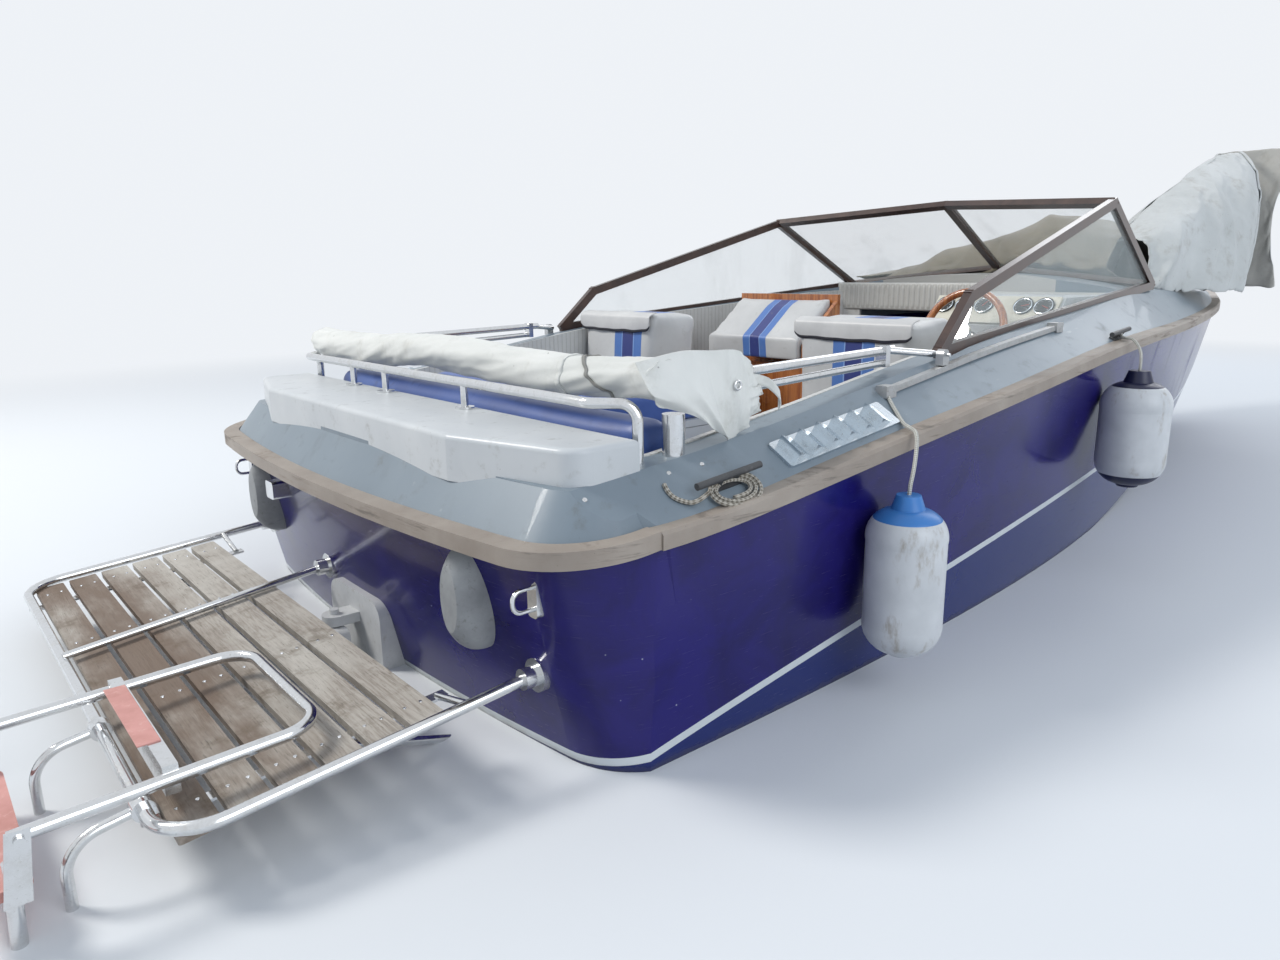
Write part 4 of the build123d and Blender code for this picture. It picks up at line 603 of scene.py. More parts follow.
finishes["rope"] = rope_finish("white_braid", (0.66, 0.66, 0.62), (0.30, 0.29, 0.25))
finishes["old_rope"] = rope_finish("weathered_rope", (0.50, 0.47, 0.41), (0.15, 0.13, 0.10))
print("cloths", *CLOTHS, "and two ropes")

# %% [markdown]
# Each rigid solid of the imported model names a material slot. Its finish goes straight into
# the object's own slot, so no mesh is touched.

# %% Finishes on the solids
for entry in frame["record"]["subparts"]:
    solid = NODES[entry["node"]]
    finish = finishes[entry["material_slot"]]
    if not solid.material_slots:
        solid.data.materials.append(finish)
    for own_slot in solid.material_slots:
        own_slot.material = finish
for name, finish in (("air_vents", "vent_chrome"), ("fender_fore", "fore_fender")):
    NODES[name].material_slots[0].material = finishes[finish]
print("solids dressed", len(NODES), "finishes", len(finishes))

# %% [markdown]
# The seats are foam in a sewn vinyl cover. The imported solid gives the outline. It is copied,
# remeshed into small even faces and blown up a little as cloth under pressure, so the faces
# crown and the edges pull in as a tight cover does. How far a point may move is capped.


# %% Stuffed covers
def link(name, mesh, finish):
    """A new object at the origin with the finish of that name."""
    piece = bpy.data.objects.new(name, mesh)
    bpy.context.scene.collection.objects.link(piece)
    mesh.materials.clear()
    mesh.materials.append(finishes[finish])
    return piece


def drift(*place):
    """Slow noise at a place, between -1 and 1."""
    return noise.noise(Vector(place))


def applied(piece):
    """Turns the piece's modifiers into mesh."""
    graph = bpy.context.evaluated_depsgraph_get()
    mesh = bpy.data.meshes.new_from_object(piece.evaluated_get(graph))
    old = piece.data
    piece.modifiers.clear()
    piece.data = mesh
    bpy.data.meshes.remove(old)


def formed(name, shaper, finish, body):
    """A new piece from an edit mesh, on a body and in a slot."""
    mesh = bpy.data.meshes.new(name)
    shaper.to_mesh(mesh)
    shaper.free()
    piece = link(name, mesh, finish)
    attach(piece, body)
    print(name, len(mesh.vertices), "points")
    return piece


def even_out(shaper):
    bmesh.ops.smooth_vert(
        shaper, verts=shaper.verts, factor=0.5, use_axis_x=True, use_axis_y=True, use_axis_z=True)


CLOTH_FRAMES = 20
CLOTH_SETTINGS = {"use_pressure": True, "uniform_pressure_force": 4.0, "tension_stiffness": 25,
                  "compression_stiffness": 8}


def settle_cloth(piece, limit):
    """Blows the closed mesh up for some frames and keeps each point within the limit."""
    scene = bpy.context.scene
    rest = [vertex.co.copy() for vertex in piece.data.vertices]
    cloth = piece.modifiers.new("cloth", "CLOTH")
    for setting, value in CLOTH_SETTINGS.items():
        setattr(cloth.settings, setting, value)
    cloth.settings.effector_weights.gravity = 0
    cloth.point_cache.frame_end = CLOTH_FRAMES
    for number in range(1, CLOTH_FRAMES + 1):
        scene.frame_set(number)
    graph = bpy.context.evaluated_depsgraph_get()
    shape = piece.evaluated_get(graph).to_mesh()
    settled = [vertex.co.copy() for vertex in shape.vertices]
    piece.modifiers.clear()
    scene.frame_set(1)
    for vertex, before, after in zip(piece.data.vertices, rest, settled):
        move = after - before
        if move.length > limit:
            move *= limit / move.length
        vertex.co = before + move


def stuffed(node, finish, body, voxel, limit):
    """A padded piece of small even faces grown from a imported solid, which it replaces."""
    name = node + "_cover"
    mesh = NODES[node].data.copy()
    shaper = bmesh.new()
    shaper.from_mesh(mesh)
    bmesh.ops.remove_doubles(shaper, verts=shaper.verts, dist=1e-5)
    shaper.to_mesh(mesh)
    shaper.free()
    piece = link(name, mesh, finish)
    remesh = piece.modifiers.new("even_faces", "REMESH")
    remesh.mode = "VOXEL"
    remesh.voxel_size = voxel
    applied(piece)
    settle_cloth(piece, limit)
    shaper = bmesh.new()
    shaper.from_mesh(piece.data)
    even_out(shaper)
    shaper.to_mesh(piece.data)
    shaper.free()
    round_off = piece.modifiers.new("round_off", "SUBSURF")
    round_off.levels = round_off.render_levels = 1
    for face in piece.data.polygons:
        face.use_smooth = True
    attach(piece, body)
    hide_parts(node)
    print(name, len(piece.data.vertices), "points")


# %% [markdown]
# A broad blue band runs over each seat: two mid blue strips with a navy one between them,
# set apart by thin pale piping. The band is part of the cover, so it is a stripe in the
# material that depends on the distance across the boat, with the stitching as a bump.


# %% Striped covers
def striped_vinyl(name, middle, half):
    skin = Finish(name, (0.55, 0.555, 0.55), 0.42, Sheen_Weight=0.1)
    cloud = skin.grain(4, 6, 0.6)
    pebbles = skin.cells(420, feature="SMOOTH_F1")
    spots = skin.grain(16, 8, 0.7).step(0.56, 0.76)
    away = (skin.axes()[1] - middle).size() * (1 / half)
    skin.ramp(cloud, (0.3, (0.46, 0.465, 0.465)), (0.7, (0.61, 0.615, 0.61)))
    skin.over(away < 1.0, (0.075, 0.175, 0.46))
    skin.over(away < 0.44, (0.028, 0.042, 0.19))
    skin.over((away > 0.40) * (away < 0.46), (0.22, 0.36, 0.66))
    skin.over(spots * 0.40, (0.24, 0.23, 0.20))
    welt = (away - 0.43).size().step(0.0, 0.035) + (away - 1.0).size().step(0.0, 0.03)
    return skin.done(0.40 + spots * 0.15, pebbles * 0.2 + cloud + welt * 0.8, 0.5, 0.0014)


# The middle of each seat's band across the boat, and half its width.
STRIPES = {"helm_seat": (-0.445, 0.087), "port_seat": (0.527, 0.084), "lounge_cushion": (0.274, 0.066)}
for node, (middle, half) in STRIPES.items():
    finishes[node] = striped_vinyl("striped_" + node, middle, half)
    stuffed(node, node, "hull_body", voxel=0.013, limit=0.011)

# %% [markdown]
# The bench pads and the pad on the engine hatch are plain blue. They lie in the sun and
# are sat on, so they are slacker than the seats and their tops are more crowned.

# %% Plain pads
for node, body in (("aft_pads", "hull_body"), ("hatch_cushion", "hatch")):
    stuffed(node, "blue_vinyl", body, voxel=0.014, limit=0.014)

# %% [markdown]
# At the top of each backrest the cover ends in a loose hem that hangs over the striped
# panel like the flap of a pocket. It is a strip of vinyl with a painted shadow line along its
# lower edge, made from a grid that is bent over the seat's upper edge.


# %% Canvas from a grid
def canvas(name, counts, shape, size, finish, lining=None, thickness=0.003, smoothing=1, weather_side=1,
           body="hull_body"):
    """A sheet made from an even grid; shape(u, v) says where each of its points lies."""
    shaper = bmesh.new()
    cloth_map = shaper.loops.layers.uv.new("cloth")
    bmesh.ops.create_grid(shaper, x_segments=counts[0], y_segments=counts[1], size=0.5, calc_uvs=True)
    for vertex in shaper.verts:
        vertex.co = shape(vertex.co.x + 0.5, vertex.co.y + 0.5)
    for _ in range(smoothing):
        even_out(shaper)
    if weather_side < 0:
        bmesh.ops.reverse_faces(shaper, faces=shaper.faces)
    for face in shaper.faces:
        face.smooth = True
        for corner in face.loops:
            corner[cloth_map].uv = (corner[cloth_map].uv.x * size[0], corner[cloth_map].uv.y * size[1])
    area = sum(face.calc_area() for face in shaper.faces)
    piece = formed(name, shaper, finish, body)
    wall = piece.modifiers.new("thickness", "SOLIDIFY")
    wall.thickness = thickness
    wall.offset = -1
    if lining:
        piece.data.materials.append(finishes[lining])
        wall.material_offset = 1
    print(name, "cloth", round(area, 3), "m2")
    return piece, (size[0], area / size[0])


# How far the hem lies off the backrest's aft face, its height over the top, its drop, and
# the share of its width that bends over the edge.
HEM_GAP, HEM_RISE, HEM_DROP, HEM_BEND = 0.015, 0.009, 0.062, 0.3


def seat_hem(name, node, face):
    """The hem over the aft face of a backrest, which stands at x = face; its finish paints a shadow line
    along its lower edge.
    """
    low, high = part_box(node)
    start, width = low[1] - 0.002, high[1] - low[1] + 0.004

    def bend(u, v):
        over = 1 - min(v / HEM_BEND, 1)
        drop = max(v - HEM_BEND, 0) / (1 - HEM_BEND)
        end = max(0, 1 - min(u, 1 - u) / 0.06)
        sag = 0.006 * sin(u * pi) + 0.004 * drift(u * 7, 4, 1) - 0.018 * end ** 2
        belly = 0.003 * sin(drop * pi) + 0.004 * drop * drift(u * 5, 1, 9)
        return Vector((face - HEM_GAP + 0.045 * over - belly, start + width * u,
                       high[2] + HEM_RISE - 0.014 * (1 - over) ** 2 - drop * (HEM_DROP + sag)))

    piece, flat = canvas(
        name, (60, 16), bend, (width, 0.11), "hem_vinyl", thickness=0.0025)


def hem_vinyl():
    """Pale vinyl whose last few millimetres are painted near black as a shadow line, and raised a little as a
    bump.
    """
    skin = Finish("hem_vinyl", (0.56, 0.56, 0.55), 0.42)
    v = skin.axes(skin.uv)[1]
    # The last few millimetres of the hem are painted near black: a painted shadow line under its edge.
    painted_shadow_edge = (v > 0.096) * 1.0
    cloud = skin.grain(6, 6, 0.6)
    skin.ramp(cloud, (0.3, (0.50, 0.50, 0.50)), (0.7, (0.63, 0.63, 0.62)))
    skin.over(painted_shadow_edge, (0.030, 0.030, 0.040))
    return skin.done(0.42, cloud + painted_shadow_edge * 0.6, 0.4, 0.0012)


finishes["hem_vinyl"] = hem_vinyl()
seat_hem("helm_seat_hem", "helm_seat", 1.690)
seat_hem("port_seat_hem", "port_seat", 1.478)

# %% [markdown]
# The folded hood is one long sheet rolled round the two bows. A spiral of a few turns gives
# the roll and its open ends. Slow noise along the roll makes it lumpy, ridged noise that
# runs askew gives the pulled folds, and it thins a little towards starboard.


# %% The roll of the hood
def ridged(x, y, z, seed):
    """Noise with sharp crests, between 0 and 1."""
    return 1 - min(abs(drift(x, y, z + seed)) * 2.2, 1)


ROLL_PORT = Vector((0.375, 0.945, 0.815))
ROLL_STARBOARD = Vector((0.382, -0.900, 0.820))
ROLL_TURNS = 2.6
# The angle at which the outermost turn ends, in radians from forward.
ROLL_END = -0.9
ROLL_INNER, ROLL_OUTER = 0.014, 0.056
# Heights of the pulled folds and of the small crinkles, and how far they lie in the roll.
FOLD_HEIGHT, CRINKLE_HEIGHT, FOLD_SINK = 0.011, 0.005, 0.008


def roll_shape(u, v):
    axis = ROLL_PORT.lerp(ROLL_STARBOARD, u)
    angle = ROLL_END - 2 * pi * ROLL_TURNS * (1 - v)
    girth = 1.12 - 0.16 * u ** 3 + 0.12 * drift(u * 5, 3, 1)
    skew = angle + 5.5 * u
    fold = ridged(1.1 * cos(skew), 1.1 * sin(skew), u * 3.4, 4.0)
    small = ridged(2.3 * cos(skew + 3 * u), 2.3 * sin(skew + 3 * u), u * 11, 9.0)
    lump = FOLD_HEIGHT * fold + CRINKLE_HEIGHT * small - FOLD_SINK
    radius = (ROLL_INNER + (ROLL_OUTER - ROLL_INNER) * v) * girth + lump * v
    sag = 0.010 * sin(u * pi * 3.2)
    return axis + Vector((
        radius * cos(angle) * 1.06, 0.012 * drift(angle, u, 7), radius * sin(angle) * 0.93 - sag))


def hood_sheet(name, counts, shape, size, lining=None, thickness=0.0025, smoothing=1,
               weather_side=-1, finish="hood_cloth"):
    """A sheet that rides with the hood's bows."""
    piece, flat = canvas(
        name, counts, shape, size, finish, lining, thickness, smoothing, weather_side, "hood")
    return piece


roll_length = (ROLL_STARBOARD - ROLL_PORT).length
roll = hood_sheet("hood_roll", (150, 150), roll_shape, (roll_length, 0.6),
                  "hood_lining", thickness=0.0022)

# %% [markdown]
# Near its starboard end the roll is stitched round with a hem of doubled cloth, and a grey
# strap holds it. Each is a flat band that follows the roll's outer turn a little outside it.


# %% Hem and strap round the roll
def on_roll(share, angle, lift):
    """A point a little outside the roll's outermost turn at an angle round it."""
    outer = 1 - ((ROLL_END - angle) % (2 * pi)) / (2 * pi * ROLL_TURNS)
    point = roll_shape(share, outer)
    axis = ROLL_PORT.lerp(ROLL_STARBOARD, share)
    away = Vector((point.x - axis.x, 0, point.z - axis.z))
    return point + away.normalized() * lift


def band(name, place, lean, width, lift, finish):
    """A band round the roll; place is its share along it and lean its skew from top to bottom."""

    def bend(u, v):
        angle = ROLL_END - 2 * pi * u * 0.995
        share = place + lean * sin(angle) + (v - 0.5) * width / roll_length
        return on_roll(share, angle, lift)

    hood_sheet(name, (72, 4), bend, (0.36, width), smoothing=0, finish=finish)


band("roll_hem", 0.825, 0.0, 0.016, 0.003, "hood_cloth")
band("roll_strap", 0.890, -0.030, 0.012, 0.004, "hood_strap")

# %% [markdown]
# The roll ends to starboard in a loose flap that hangs over the rail. It is one sheet: it
# leaves the roll as a wide tongue, narrows to a point below and is frayed and crumpled
# at its forward edge. A doubled hem runs down it and carries one steel grommet.


# %% The pointed flap
def along_points(points, share):
    """A point on a smooth line through a few others."""
    place = share * (len(points) - 1)
    index = min(int(place), len(points) - 2)
    rest = place - index
    before, here = points[max(index - 1, 0)], points[index]
    ahead, after = points[index + 1], points[min(index + 2, len(points) - 1)]
    return 0.5 * (2 * here + (ahead - before) * rest + (2 * before - 5 * here + 4 * ahead - after) * rest ** 2
                  + (3 * here - before - 3 * ahead + after) * rest ** 3)


def vectors(*points):
    return [Vector(point) for point in points]


FLAP_TOP = vectors(
    (0.318, -0.872, 0.862), (0.430, -0.892, 0.880), (0.515, -0.905, 0.877), (0.585, -0.915, 0.874),
    (0.635, -0.905, 0.852), (0.675, -0.890, 0.822))
FLAP_MIDDLE = vectors(
    (0.322, -0.918, 0.800), (0.425, -0.942, 0.790), (0.505, -0.938, 0.775), (0.572, -0.932, 0.762),
    (0.632, -0.915, 0.762), (0.690, -0.900, 0.768))
FLAP_LOW = vectors(
    (0.352, -0.905, 0.768), (0.442, -0.928, 0.737), (0.518, -0.930, 0.692), (0.578, -0.925, 0.664),
    (0.628, -0.912, 0.690), (0.680, -0.900, 0.728))


def flap_shape(u, v):
    rows = [along_points(line, u) for line in (FLAP_TOP, FLAP_MIDDLE, FLAP_LOW)]
    point = along_points(rows, v)
    pleat = ridged(u * 5.5 - v * 1.4, v * 0.8, 0.3, 2.0) - 0.5
    fray = max(0, (u - 0.70) / 0.30)
    crumple = ridged(u * 14, v * 6, 1.0, 5.0) - 0.4
    hem = 0.004 if 0.50 < u < 0.66 else 0.0
    return point + Vector((0.012 * fray * drift(v * 9, 2, 5),
                           -0.024 * pleat * (0.25 + 0.75 * v) - 0.012 * fray * crumple - hem,
                           0.014 * fray * drift(v * 13, 8, 2)))


flap = hood_sheet("hood_flap", (96, 56), flap_shape, (0.36, 0.17), "hood_lining")

# %% [markdown]
# Two small things finish the flap: the loose end of a strap beside it, and the grommet in
# its hem, which is a round wire spun about its axis.

# %% The strap end and the grommet
STRAP_END = vectors(
    (0.665, -0.905, 0.800), (0.705, -0.915, 0.785), (0.735, -0.918, 0.757), (0.742, -0.915, 0.728))


def strap_end(u, v):
    point = along_points(STRAP_END, u)
    return point + Vector((0.004 * sin(u * 9), 0.006 * sin(u * 7 + v), (v - 0.5) * 0.026))


hood_sheet("hood_strap_end", (28, 4), strap_end, (0.12, 0.026), thickness=0.003,
           weather_side=1)

GROMMET_RADIUS, GROMMET_WIRE = 0.0095, 0.0030
grommet_seat = flap_shape(0.585, 0.36)
shaper = bmesh.new()
ring = bmesh.ops.create_circle(shaper, cap_ends=True, segments=12, radius=GROMMET_WIRE)
bmesh.ops.transform(
    shaper, matrix=Matrix.Translation((GROMMET_RADIUS, 0, 0)) @ Matrix.Rotation(pi / 2, 4, "X"),
    verts=ring["verts"])
bmesh.ops.spin(
    shaper, geom=shaper.verts[:] + shaper.edges[:] + shaper.faces[:], cent=(0, 0, 0), axis=(0, 0, 1),
    angle=2 * pi, steps=32, use_merge=True)
inner = [face for face in shaper.faces if len(face.verts) > 4]
bmesh.ops.delete(shaper, geom=inner, context="FACES_ONLY")
bmesh.ops.remove_doubles(shaper, verts=shaper.verts, dist=1e-5)
bmesh.ops.recalc_face_normals(shaper, faces=shaper.faces)
bmesh.ops.transform(
    shaper, verts=shaper.verts,
    matrix=Matrix.Translation(grommet_seat + Vector((0, -0.005, 0))) @ Matrix.Rotation(pi / 2, 4, "X"))
for face in shaper.faces:
    face.smooth = True
formed("hood_grommet", shaper, "polished_steel", "hood")
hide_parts("hood_canvas")
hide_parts("hood_canvas")
print("hood dressed")

# %% [markdown]
# The mooring cover lies bundled on the foredeck. Behind the windshield it is a broad fold
# that lifts off the deck and shows its lining, painted dark as the shade under the lift, and
# to starboard it stands up like a hood whose hollow end faces the stern. Each part is one grid
# bent over a few key lines, with ridged noise for the creases that stiff canvas keeps.

# %% The broad fold behind the windshield
# Rows of the fold from port to starboard. Columns: half breadth, aft lip, top, forward edge.
FOLD_ROWS = [
    (0.775, 3.43, 1.020, 3.66), (0.60, 3.44, 1.110, 4.00), (0.42, 3.46, 1.185, 4.25),
    (0.10, 3.46, 1.268, 4.45), (-0.20, 3.47, 1.292, 4.52), (-0.52, 3.52, 1.215, 4.30)]
FOLD_BASE = 0.905


def fold_shape(u, v):
    lip, top, front = along_points(vectors(*(row[1:] for row in FOLD_ROWS)), u)
    side = FOLD_ROWS[0][0] + (FOLD_ROWS[-1][0] - FOLD_ROWS[0][0]) * u
    height = top - FOLD_BASE
    near = [(lip + ahead, 0, FOLD_BASE + share * height) for ahead, share in (
        (0.42, 0.10), (0.20, 0.26), (0.02, 0.40), (0.01, 0.52), (0.13, 0.86))]
    point = along_points(vectors(*near, (lip + 0.34, 0, top), (front - 0.30, 0, top - 0.02),
                                 (front - 0.06, 0, FOLD_BASE + 0.60 * height), (front, 0, FOLD_BASE)), v)
    crease = ridged(u * 4.5 + v * 1.5, v * 2.4, 0.7, 11.0) - 0.5
    fine = ridged(u * 13, v * 9 + u * 4, 2.0, 3.0) - 0.5
    lift = max(0.0, min(1.0, (point.z - FOLD_BASE) / 0.12))
    return Vector((point.x + 0.020 * fine * lift, side + 0.012 * crease,
                   point.z + (0.032 * crease + 0.010 * fine) * lift - 0.03 * lift * sin(u * 9) ** 2))


def cover_sheet(name, counts, shape, size, finish="cover_cloth", lining=None, thickness=0.004, smoothing=1,
                weather_side=1):
    """One part of the bundle."""
    piece, flat = canvas(name, counts, shape, size, finish, lining, thickness, smoothing, weather_side)
    return piece


# The fold's lining is painted dark as the shade under the lifted fold.
fold = cover_sheet("cover_fold", (110, 110), fold_shape, (1.40, 2.0), "tan_canvas", "shade_and_stain_lining",
                   smoothing=2, weather_side=-1)

# %% [markdown]
# The standing part has a ridge that climbs forward. One sheet falls from the ridge towards
# the camera and ends in a slanting rim. The other falls behind it and turns across the far
# end, so between them there is a deep fold where the near sheet's lining is painted dark as shade.

# %% The standing part of the cover
RIDGE = vectors(
    (3.66, -0.47, 1.150), (4.05, -0.45, 1.330), (4.55, -0.44, 1.500), (5.05, -0.42, 1.640),
    (5.52, -0.38, 1.700))
SKIRT = vectors(
    (3.64, -0.64, 0.935), (3.85, -0.72, 0.925), (4.12, -0.745, 0.915), (4.42, -0.76, 0.905),
    (4.72, -0.755, 0.900))
FAR_RIDGE = RIDGE[:-1] + vectors((5.48, -0.30, 1.700), (5.60, -0.46, 1.715), (5.60, -0.68, 1.705))
FAR_FOOT = vectors(
    (3.75, -0.30, 0.960), (4.15, -0.20, 0.940), (4.60, -0.14, 0.925), (5.05, -0.14, 0.915),
    (5.42, -0.18, 0.905), (5.56, -0.42, 0.900), (5.54, -0.64, 0.900))


def creased(point, u, v, amount, seed):
    """Moves a point of a hanging sheet by its creases, least along the top."""
    long_fold = ridged(u * 5.5 + 0.6 * v, v * 1.1, 0.4, seed) - 0.5
    short_fold = ridged(u * 15, v * 7 + u * 3, 0.9, seed + 4) - 0.5
    give = amount * (0.35 + 0.65 * v)
    return point + Vector((0.3 * give * short_fold, -give * long_fold, 0.25 * give * short_fold))


def near_sheet(u, v):
    top, foot = along_points(RIDGE, u), along_points(SKIRT, u)
    belly = Vector((0, -0.085 * sin(v * pi) ** 0.8, 0.10 * sin(v * pi)))
    return creased(top.lerp(foot, v) + belly, u, v, 0.075, 21.0)


def far_sheet(u, v):
    top, foot = along_points(FAR_RIDGE, u), along_points(FAR_FOOT, u)
    return creased(top.lerp(foot, v) + Vector((0.02, 0.05, 0.04)) * sin(v * pi), u, v, 0.060, 33.0)


# The near sheet's lining is painted dark as the shade inside the hollow.
near = cover_sheet("cover_near_sheet", (120, 64), near_sheet, (2.1, 0.8), lining="shade_and_stain_lining", smoothing=2,
                   weather_side=-1)
far = cover_sheet("cover_far_sheet", (120, 64), far_sheet, (2.9, 0.8), lining="hood_lining", smoothing=2)

# %% [markdown]
# The slanting edge of the near sheet ends in a doubled hem, and one loose pleat hangs
# inside the hollow.


# %% The rim and the pleat of the cover
def rim_shape(u, v):
    """A doubled hem along the slanting edge of the near sheet."""
    point = near_sheet(1.0, u)
    ahead = near_sheet(0.975, u)
    inward = (ahead - point).normalized() * (v - 0.25) * 0.055
    return point + inward + Vector((-0.006, -0.012, 0)) * sin(v * pi)


PLEAT_TOP, PLEAT_FOOT = vectors((5.45, -0.42, 1.45), (5.20, -0.56, 0.93))


def pleat_shape(u, v):
    """A loose pleat inside the hollow, from the far ridge down to the foot."""
    point = PLEAT_TOP.lerp(PLEAT_FOOT, u)
    return point + Vector((0.03 * sin(u * 5), (v - 0.5) * (0.06 + 0.05 * u), 0.02 * sin(v * pi)))


cover_sheet("cover_rim", (70, 6), rim_shape, (1.2, 0.05), thickness=0.005)
cover_sheet("cover_pleat", (40, 8), pleat_shape, (0.6, 0.09))
for piece in (fold, near, far):
    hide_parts("bow_cover")
print("cover in place")

# %% [markdown]
# The two fender lines are laid rope. Each is a curve through the same points as in the
# part's source, with a round section of the rope's thickness, and stands for its solid.


# %% Fender lines
ROPE_WIDTH = 0.010


def rope_line(name, places, finish):
    """A curve through points in the row frame, as thick as the rope."""
    line = bpy.data.curves.new(name, "CURVE")
    line.dimensions = "3D"
    line.bevel_depth = ROPE_WIDTH / 2
    line.bevel_resolution = 3
    line.resolution_u = 8
    line.use_fill_caps = True
    spline = line.splines.new("NURBS")
    spline.points.add(len(places) - 1)
    for point, place in zip(spline.points, places):
        point.co = (*place, 1)
    spline.order_u = 3
    spline.use_endpoint_u = True
    piece = link(name, line, finish)
    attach(piece, "hull_body")
    print(name, "through", len(places), "points")
    return piece


# The length of each line and the points it runs through.
LANYARDS = {
    "aft": (0.391, [
        (1.110, -0.967, 0.733), (1.088, -0.997, 0.709), (1.070, -1.030, 0.687), (1.053, -1.062, 0.663),
        (1.034, -1.092, 0.661), (1.010, -1.130, 0.656), (0.985, -1.146, 0.612), (0.950, -1.163, 0.570),
        (0.927, -1.170, 0.540), (0.925, -1.170, 0.505)]),
    "fore": (0.238, [
        (2.430, -1.027, 0.821), (2.418, -1.036, 0.803), (2.403, -1.056, 0.803), (2.386, -1.090, 0.802),
        (2.346, -1.132, 0.768), (2.319, -1.146, 0.727), (2.316, -1.146, 0.690)])}
for end, (length, places) in LANYARDS.items():
    line = rope_line("fender_line_" + end, places, "rope")
    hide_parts("lanyard_" + end)

# %% [markdown]
# Small fittings sit on what carries them. A ray sent at a solid gives the point and the
# slope of its surface there, so each screw head and dial lies flush where it belongs.


# %% Screw heads
def touch(node, start, way):
    """The point and the normal where a line first meets a solid."""
    solid = NODES[node]
    back = solid.matrix_world.inverted()
    found, place, normal, _ = solid.ray_cast(back @ Vector(start), (back.to_3x3() @ Vector(way)).normalized())
    if not found:
        raise ValueError("no surface of " + node + " from " + str(start))
    return solid.matrix_world @ place, (solid.matrix_world.to_3x3() @ normal).normalized()


def seated(place, normal, turn=0.0):
    """The matrix that stands a form on a surface."""
    return Matrix.Translation(place) @ normal.to_track_quat("Z", "Y").to_matrix().to_4x4() @ turned(turn)


def turned(angle, axis="Z"):
    return Matrix.Rotation(angle, 4, axis)


def block(shaper, stand, sides):
    """Adds a box with the three sides, whose middle is where stand puts it."""
    bmesh.ops.create_cube(shaper, size=1, matrix=stand @ Matrix.Diagonal((*sides, 1)))


def screws(name, seats, radius):
    """Countersunk heads with a cross recess."""
    shaper = bmesh.new()
    for number, (place, normal) in enumerate(seats):
        stand = seated(place + normal * HEAD_LIFT, normal, number * 1.1)
        bmesh.ops.create_cone(shaper, cap_ends=True, segments=16, radius1=radius, radius2=radius * 0.86,
                              depth=HEAD_HEIGHT, matrix=stand)
        for quarter in (0, pi / 2):
            block(shaper, stand @ turned(quarter) @ Matrix.Translation((0, 0, RECESS_HEIGHT)),
                  (radius * 1.1, radius * 0.22, 0.0004))
    formed(name, shaper, "polished_steel", "hull_body")


HEAD_LIFT, HEAD_HEIGHT, RECESS_HEIGHT = 0.0006, 0.0016, 0.0009
DOWN = (0, 0, -1)
SLATS = [-0.172 - 0.088 * number for number in range(6)]
screws("slat_screws", [touch("platform_slats", (x + step, y, 0.6), DOWN) for x in SLATS
                       for y in (-0.72, -0.25, 0.25, 0.72) for step in (-0.018, 0.018)], radius=0.0042)
screws("deck_screws", [touch("deck", (x, y, 1.2), DOWN) for x, y in (
    (0.124, -0.943), (0.349, -0.946), (0.442, -0.953))], radius=0.0058)

# %% [markdown]
# Each dial has a chrome ring, a pale scale and a red needle on its black face. The ring is
# a small circle spun about the dial's axis, and the marks and the needle are thin plates.

# %% Dials
low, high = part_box("gauges")
DIAL_RADIUS, DIAL_WIRE = 0.036, 0.0022
FIRST_DIAL, LAST_DIAL = low[1] + 0.040, high[1] - 0.040
# Where the middles of the dials lie between the first and the last.
DIAL_SHARES = (0.0, 0.1954, 0.5862, 0.7931, 1.0)
# Marks round a dial, the angle between two of them, and the width, length and height of each.
TICKS, TICK_TURN, TICK_SIDES = 9, 0.55, (0.0014, 0.006, 0.0005)
NEEDLE_SIDES = (0.0018, 0.030, 0.0006)
rings, marks, needles = bmesh.new(), bmesh.new(), bmesh.new()
for number, share in enumerate(DIAL_SHARES):
    start = (low[0] - 0.2, FIRST_DIAL + (LAST_DIAL - FIRST_DIAL) * share, (low[2] + high[2]) / 2)
    stand = seated(*touch("gauges", start, (1, 0, 0)))
    hoop = bmesh.ops.create_circle(rings, segments=10, radius=DIAL_WIRE, matrix=Matrix.Translation(
        (DIAL_RADIUS, 0, 0)) @ turned(pi / 2, "X"))["verts"]
    edges = list({edge for vertex in hoop for edge in vertex.link_edges})
    bmesh.ops.spin(rings, geom=hoop + edges, cent=(0, 0, 0), axis=(0, 0, 1), angle=2 * pi, steps=36,
                   use_merge=True)
    fresh = [vertex for vertex in rings.verts if not vertex.tag]
    bmesh.ops.transform(rings, matrix=stand, verts=fresh)
    for vertex in fresh:
        vertex.tag = True
    for tick in range(TICKS):
        turn = stand @ turned((tick - TICKS // 2) * TICK_TURN) @ Matrix.Translation((0, 0.028, 0.0006))
        block(marks, turn, TICK_SIDES)
    turn = stand @ turned(-2.0 + 0.7 * number) @ Matrix.Translation((0, 0.010, 0.0012))
    block(needles, turn, NEEDLE_SIDES)
bmesh.ops.remove_doubles(rings, verts=rings.verts, dist=1e-5)
bmesh.ops.recalc_face_normals(rings, faces=rings.faces)
formed("dial_rings", rings, "vent_chrome", "hull_body")
formed("dial_marks", marks, "white_paint", "hull_body")
formed("dial_needles", needles, "needle_red", "hull_body")

# %% [markdown]
# Over the cabin door the bulkhead is covered with the same fluted vinyl as the cockpit
# sides. It is a thin padded panel made from a grid whose columns follow the flutes.

# %% The fluted panel over the door
FLUTE = 0.030
PANEL_LOW, PANEL_HIGH = vectors((3.128, -0.120, 0.836), (3.128, 0.720, 0.975))


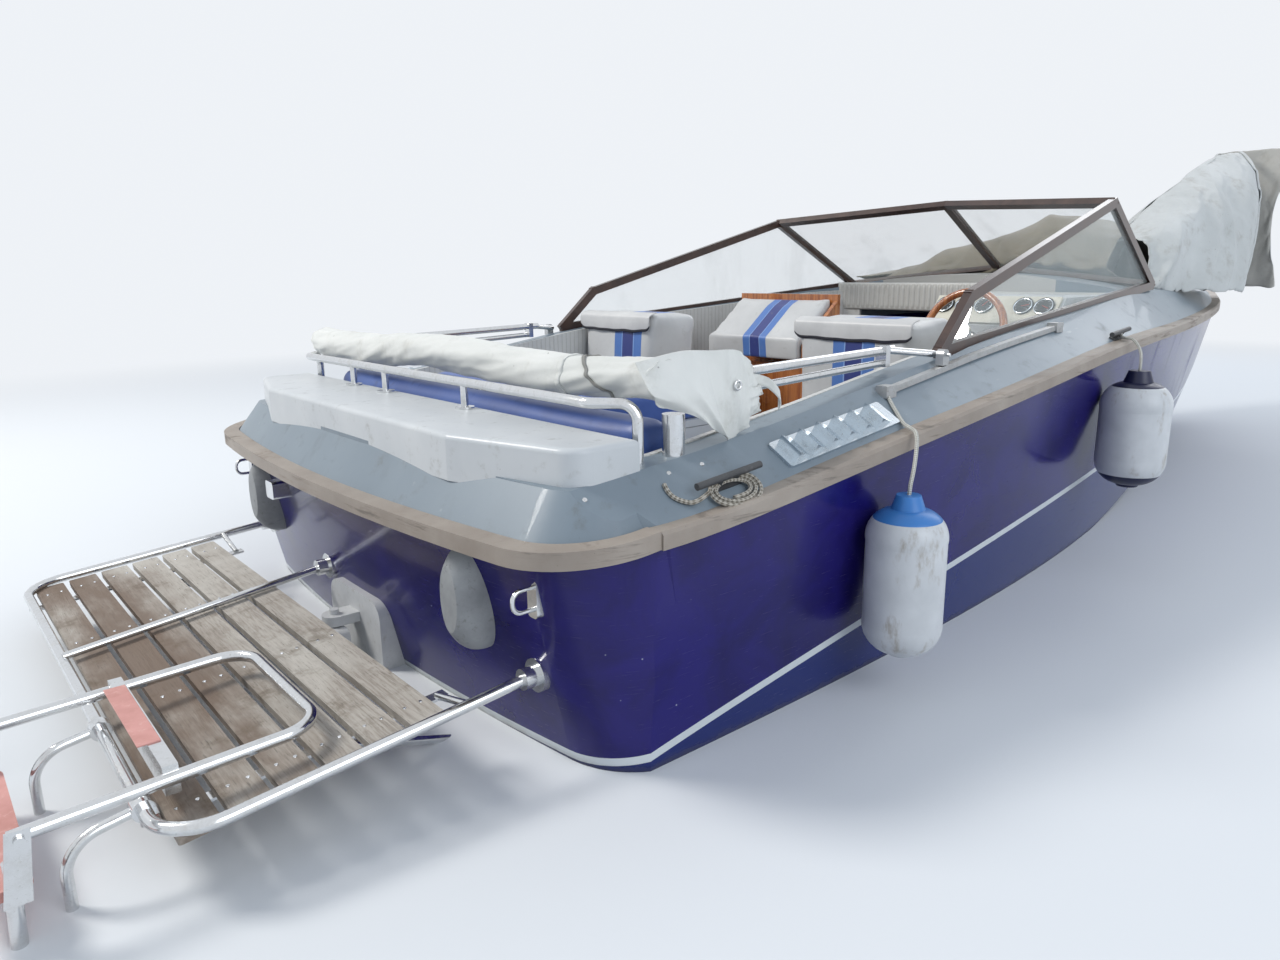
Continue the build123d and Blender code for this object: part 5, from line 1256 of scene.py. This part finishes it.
def fluted(u, v):
    y = PANEL_LOW.y + (PANEL_HIGH.y - PANEL_LOW.y) * u
    swell = 0.006 * abs(sin(pi * (y - PANEL_LOW.y) / FLUTE)) ** 0.6
    edge = min(1, min(v, 1 - v) / 0.12) * min(1, min(u, 1 - u) / 0.012)
    return Vector((PANEL_LOW.x - swell * edge, y, PANEL_LOW.z + (PANEL_HIGH.z - PANEL_LOW.z) * v))


panel, _ = canvas("door_panel", (196, 12), fluted, (0.84, 0.14), "liner_vinyl", thickness=0.006, smoothing=0,
                  weather_side=-1)

# %% [markdown]
# A short weathered line lies belayed round the starboard aft cleat. The line that led on
# from here to the dock is left out. Its turns lie side by side under the horns, and its
# tail rests on the side deck.

# %% The line on the aft cleat
middle, slope = touch("deck", (0.455, -1.0352, 1.2), DOWN)
along_cleat = (Vector((1, 0, 0)) - slope * slope.x).normalized()
across_cleat = slope.cross(along_cleat)
TURN_SPACING = 0.0135
turns = []
for number in range(21):
    angle = -2.0 + number * pi / 4
    grow = TURN_SPACING * number / 8
    turns.append((cos(angle) * (0.043 + grow), sin(angle) * (0.022 + grow), 0.0118))
turns += [(-0.105, -0.004, 0.0095), (-0.135, 0.016, 0.0068), (-0.150, 0.045, 0.0060), (-0.141, 0.072, 0.0060)]
belayed = [middle + along_cleat * a + across_cleat * b + slope * c for a, b, c in turns]
line = rope_line("cleat_line", belayed, "old_rope")
length = round(line.data.splines[0].calc_length(), 3)
print("cleat line", length, "m")

# %% [markdown]
# The cross plate of the upper ladder has a salmon anti-slip strip glued on it, worn away at
# its starboard end. It is a thin bevelled plate that rides with the upper ladder.

# %% The strip on the ladder's cross plate
STRIP_LOW, STRIP_HIGH = vectors((-0.660, -0.622, 0.2238), (-0.620, -0.322, 0.2266))
shaper = bmesh.new()
block(shaper, Matrix.Translation((STRIP_LOW + STRIP_HIGH) / 2), STRIP_HIGH - STRIP_LOW)
bmesh.ops.bevel(
    shaper, geom=shaper.edges[:], offset=0.0008, offset_type="OFFSET", segments=2, profile=0.5,
    affect="EDGES", material=-1)
formed("ladder_strip", shaper, "tread_plastic", "ladder")
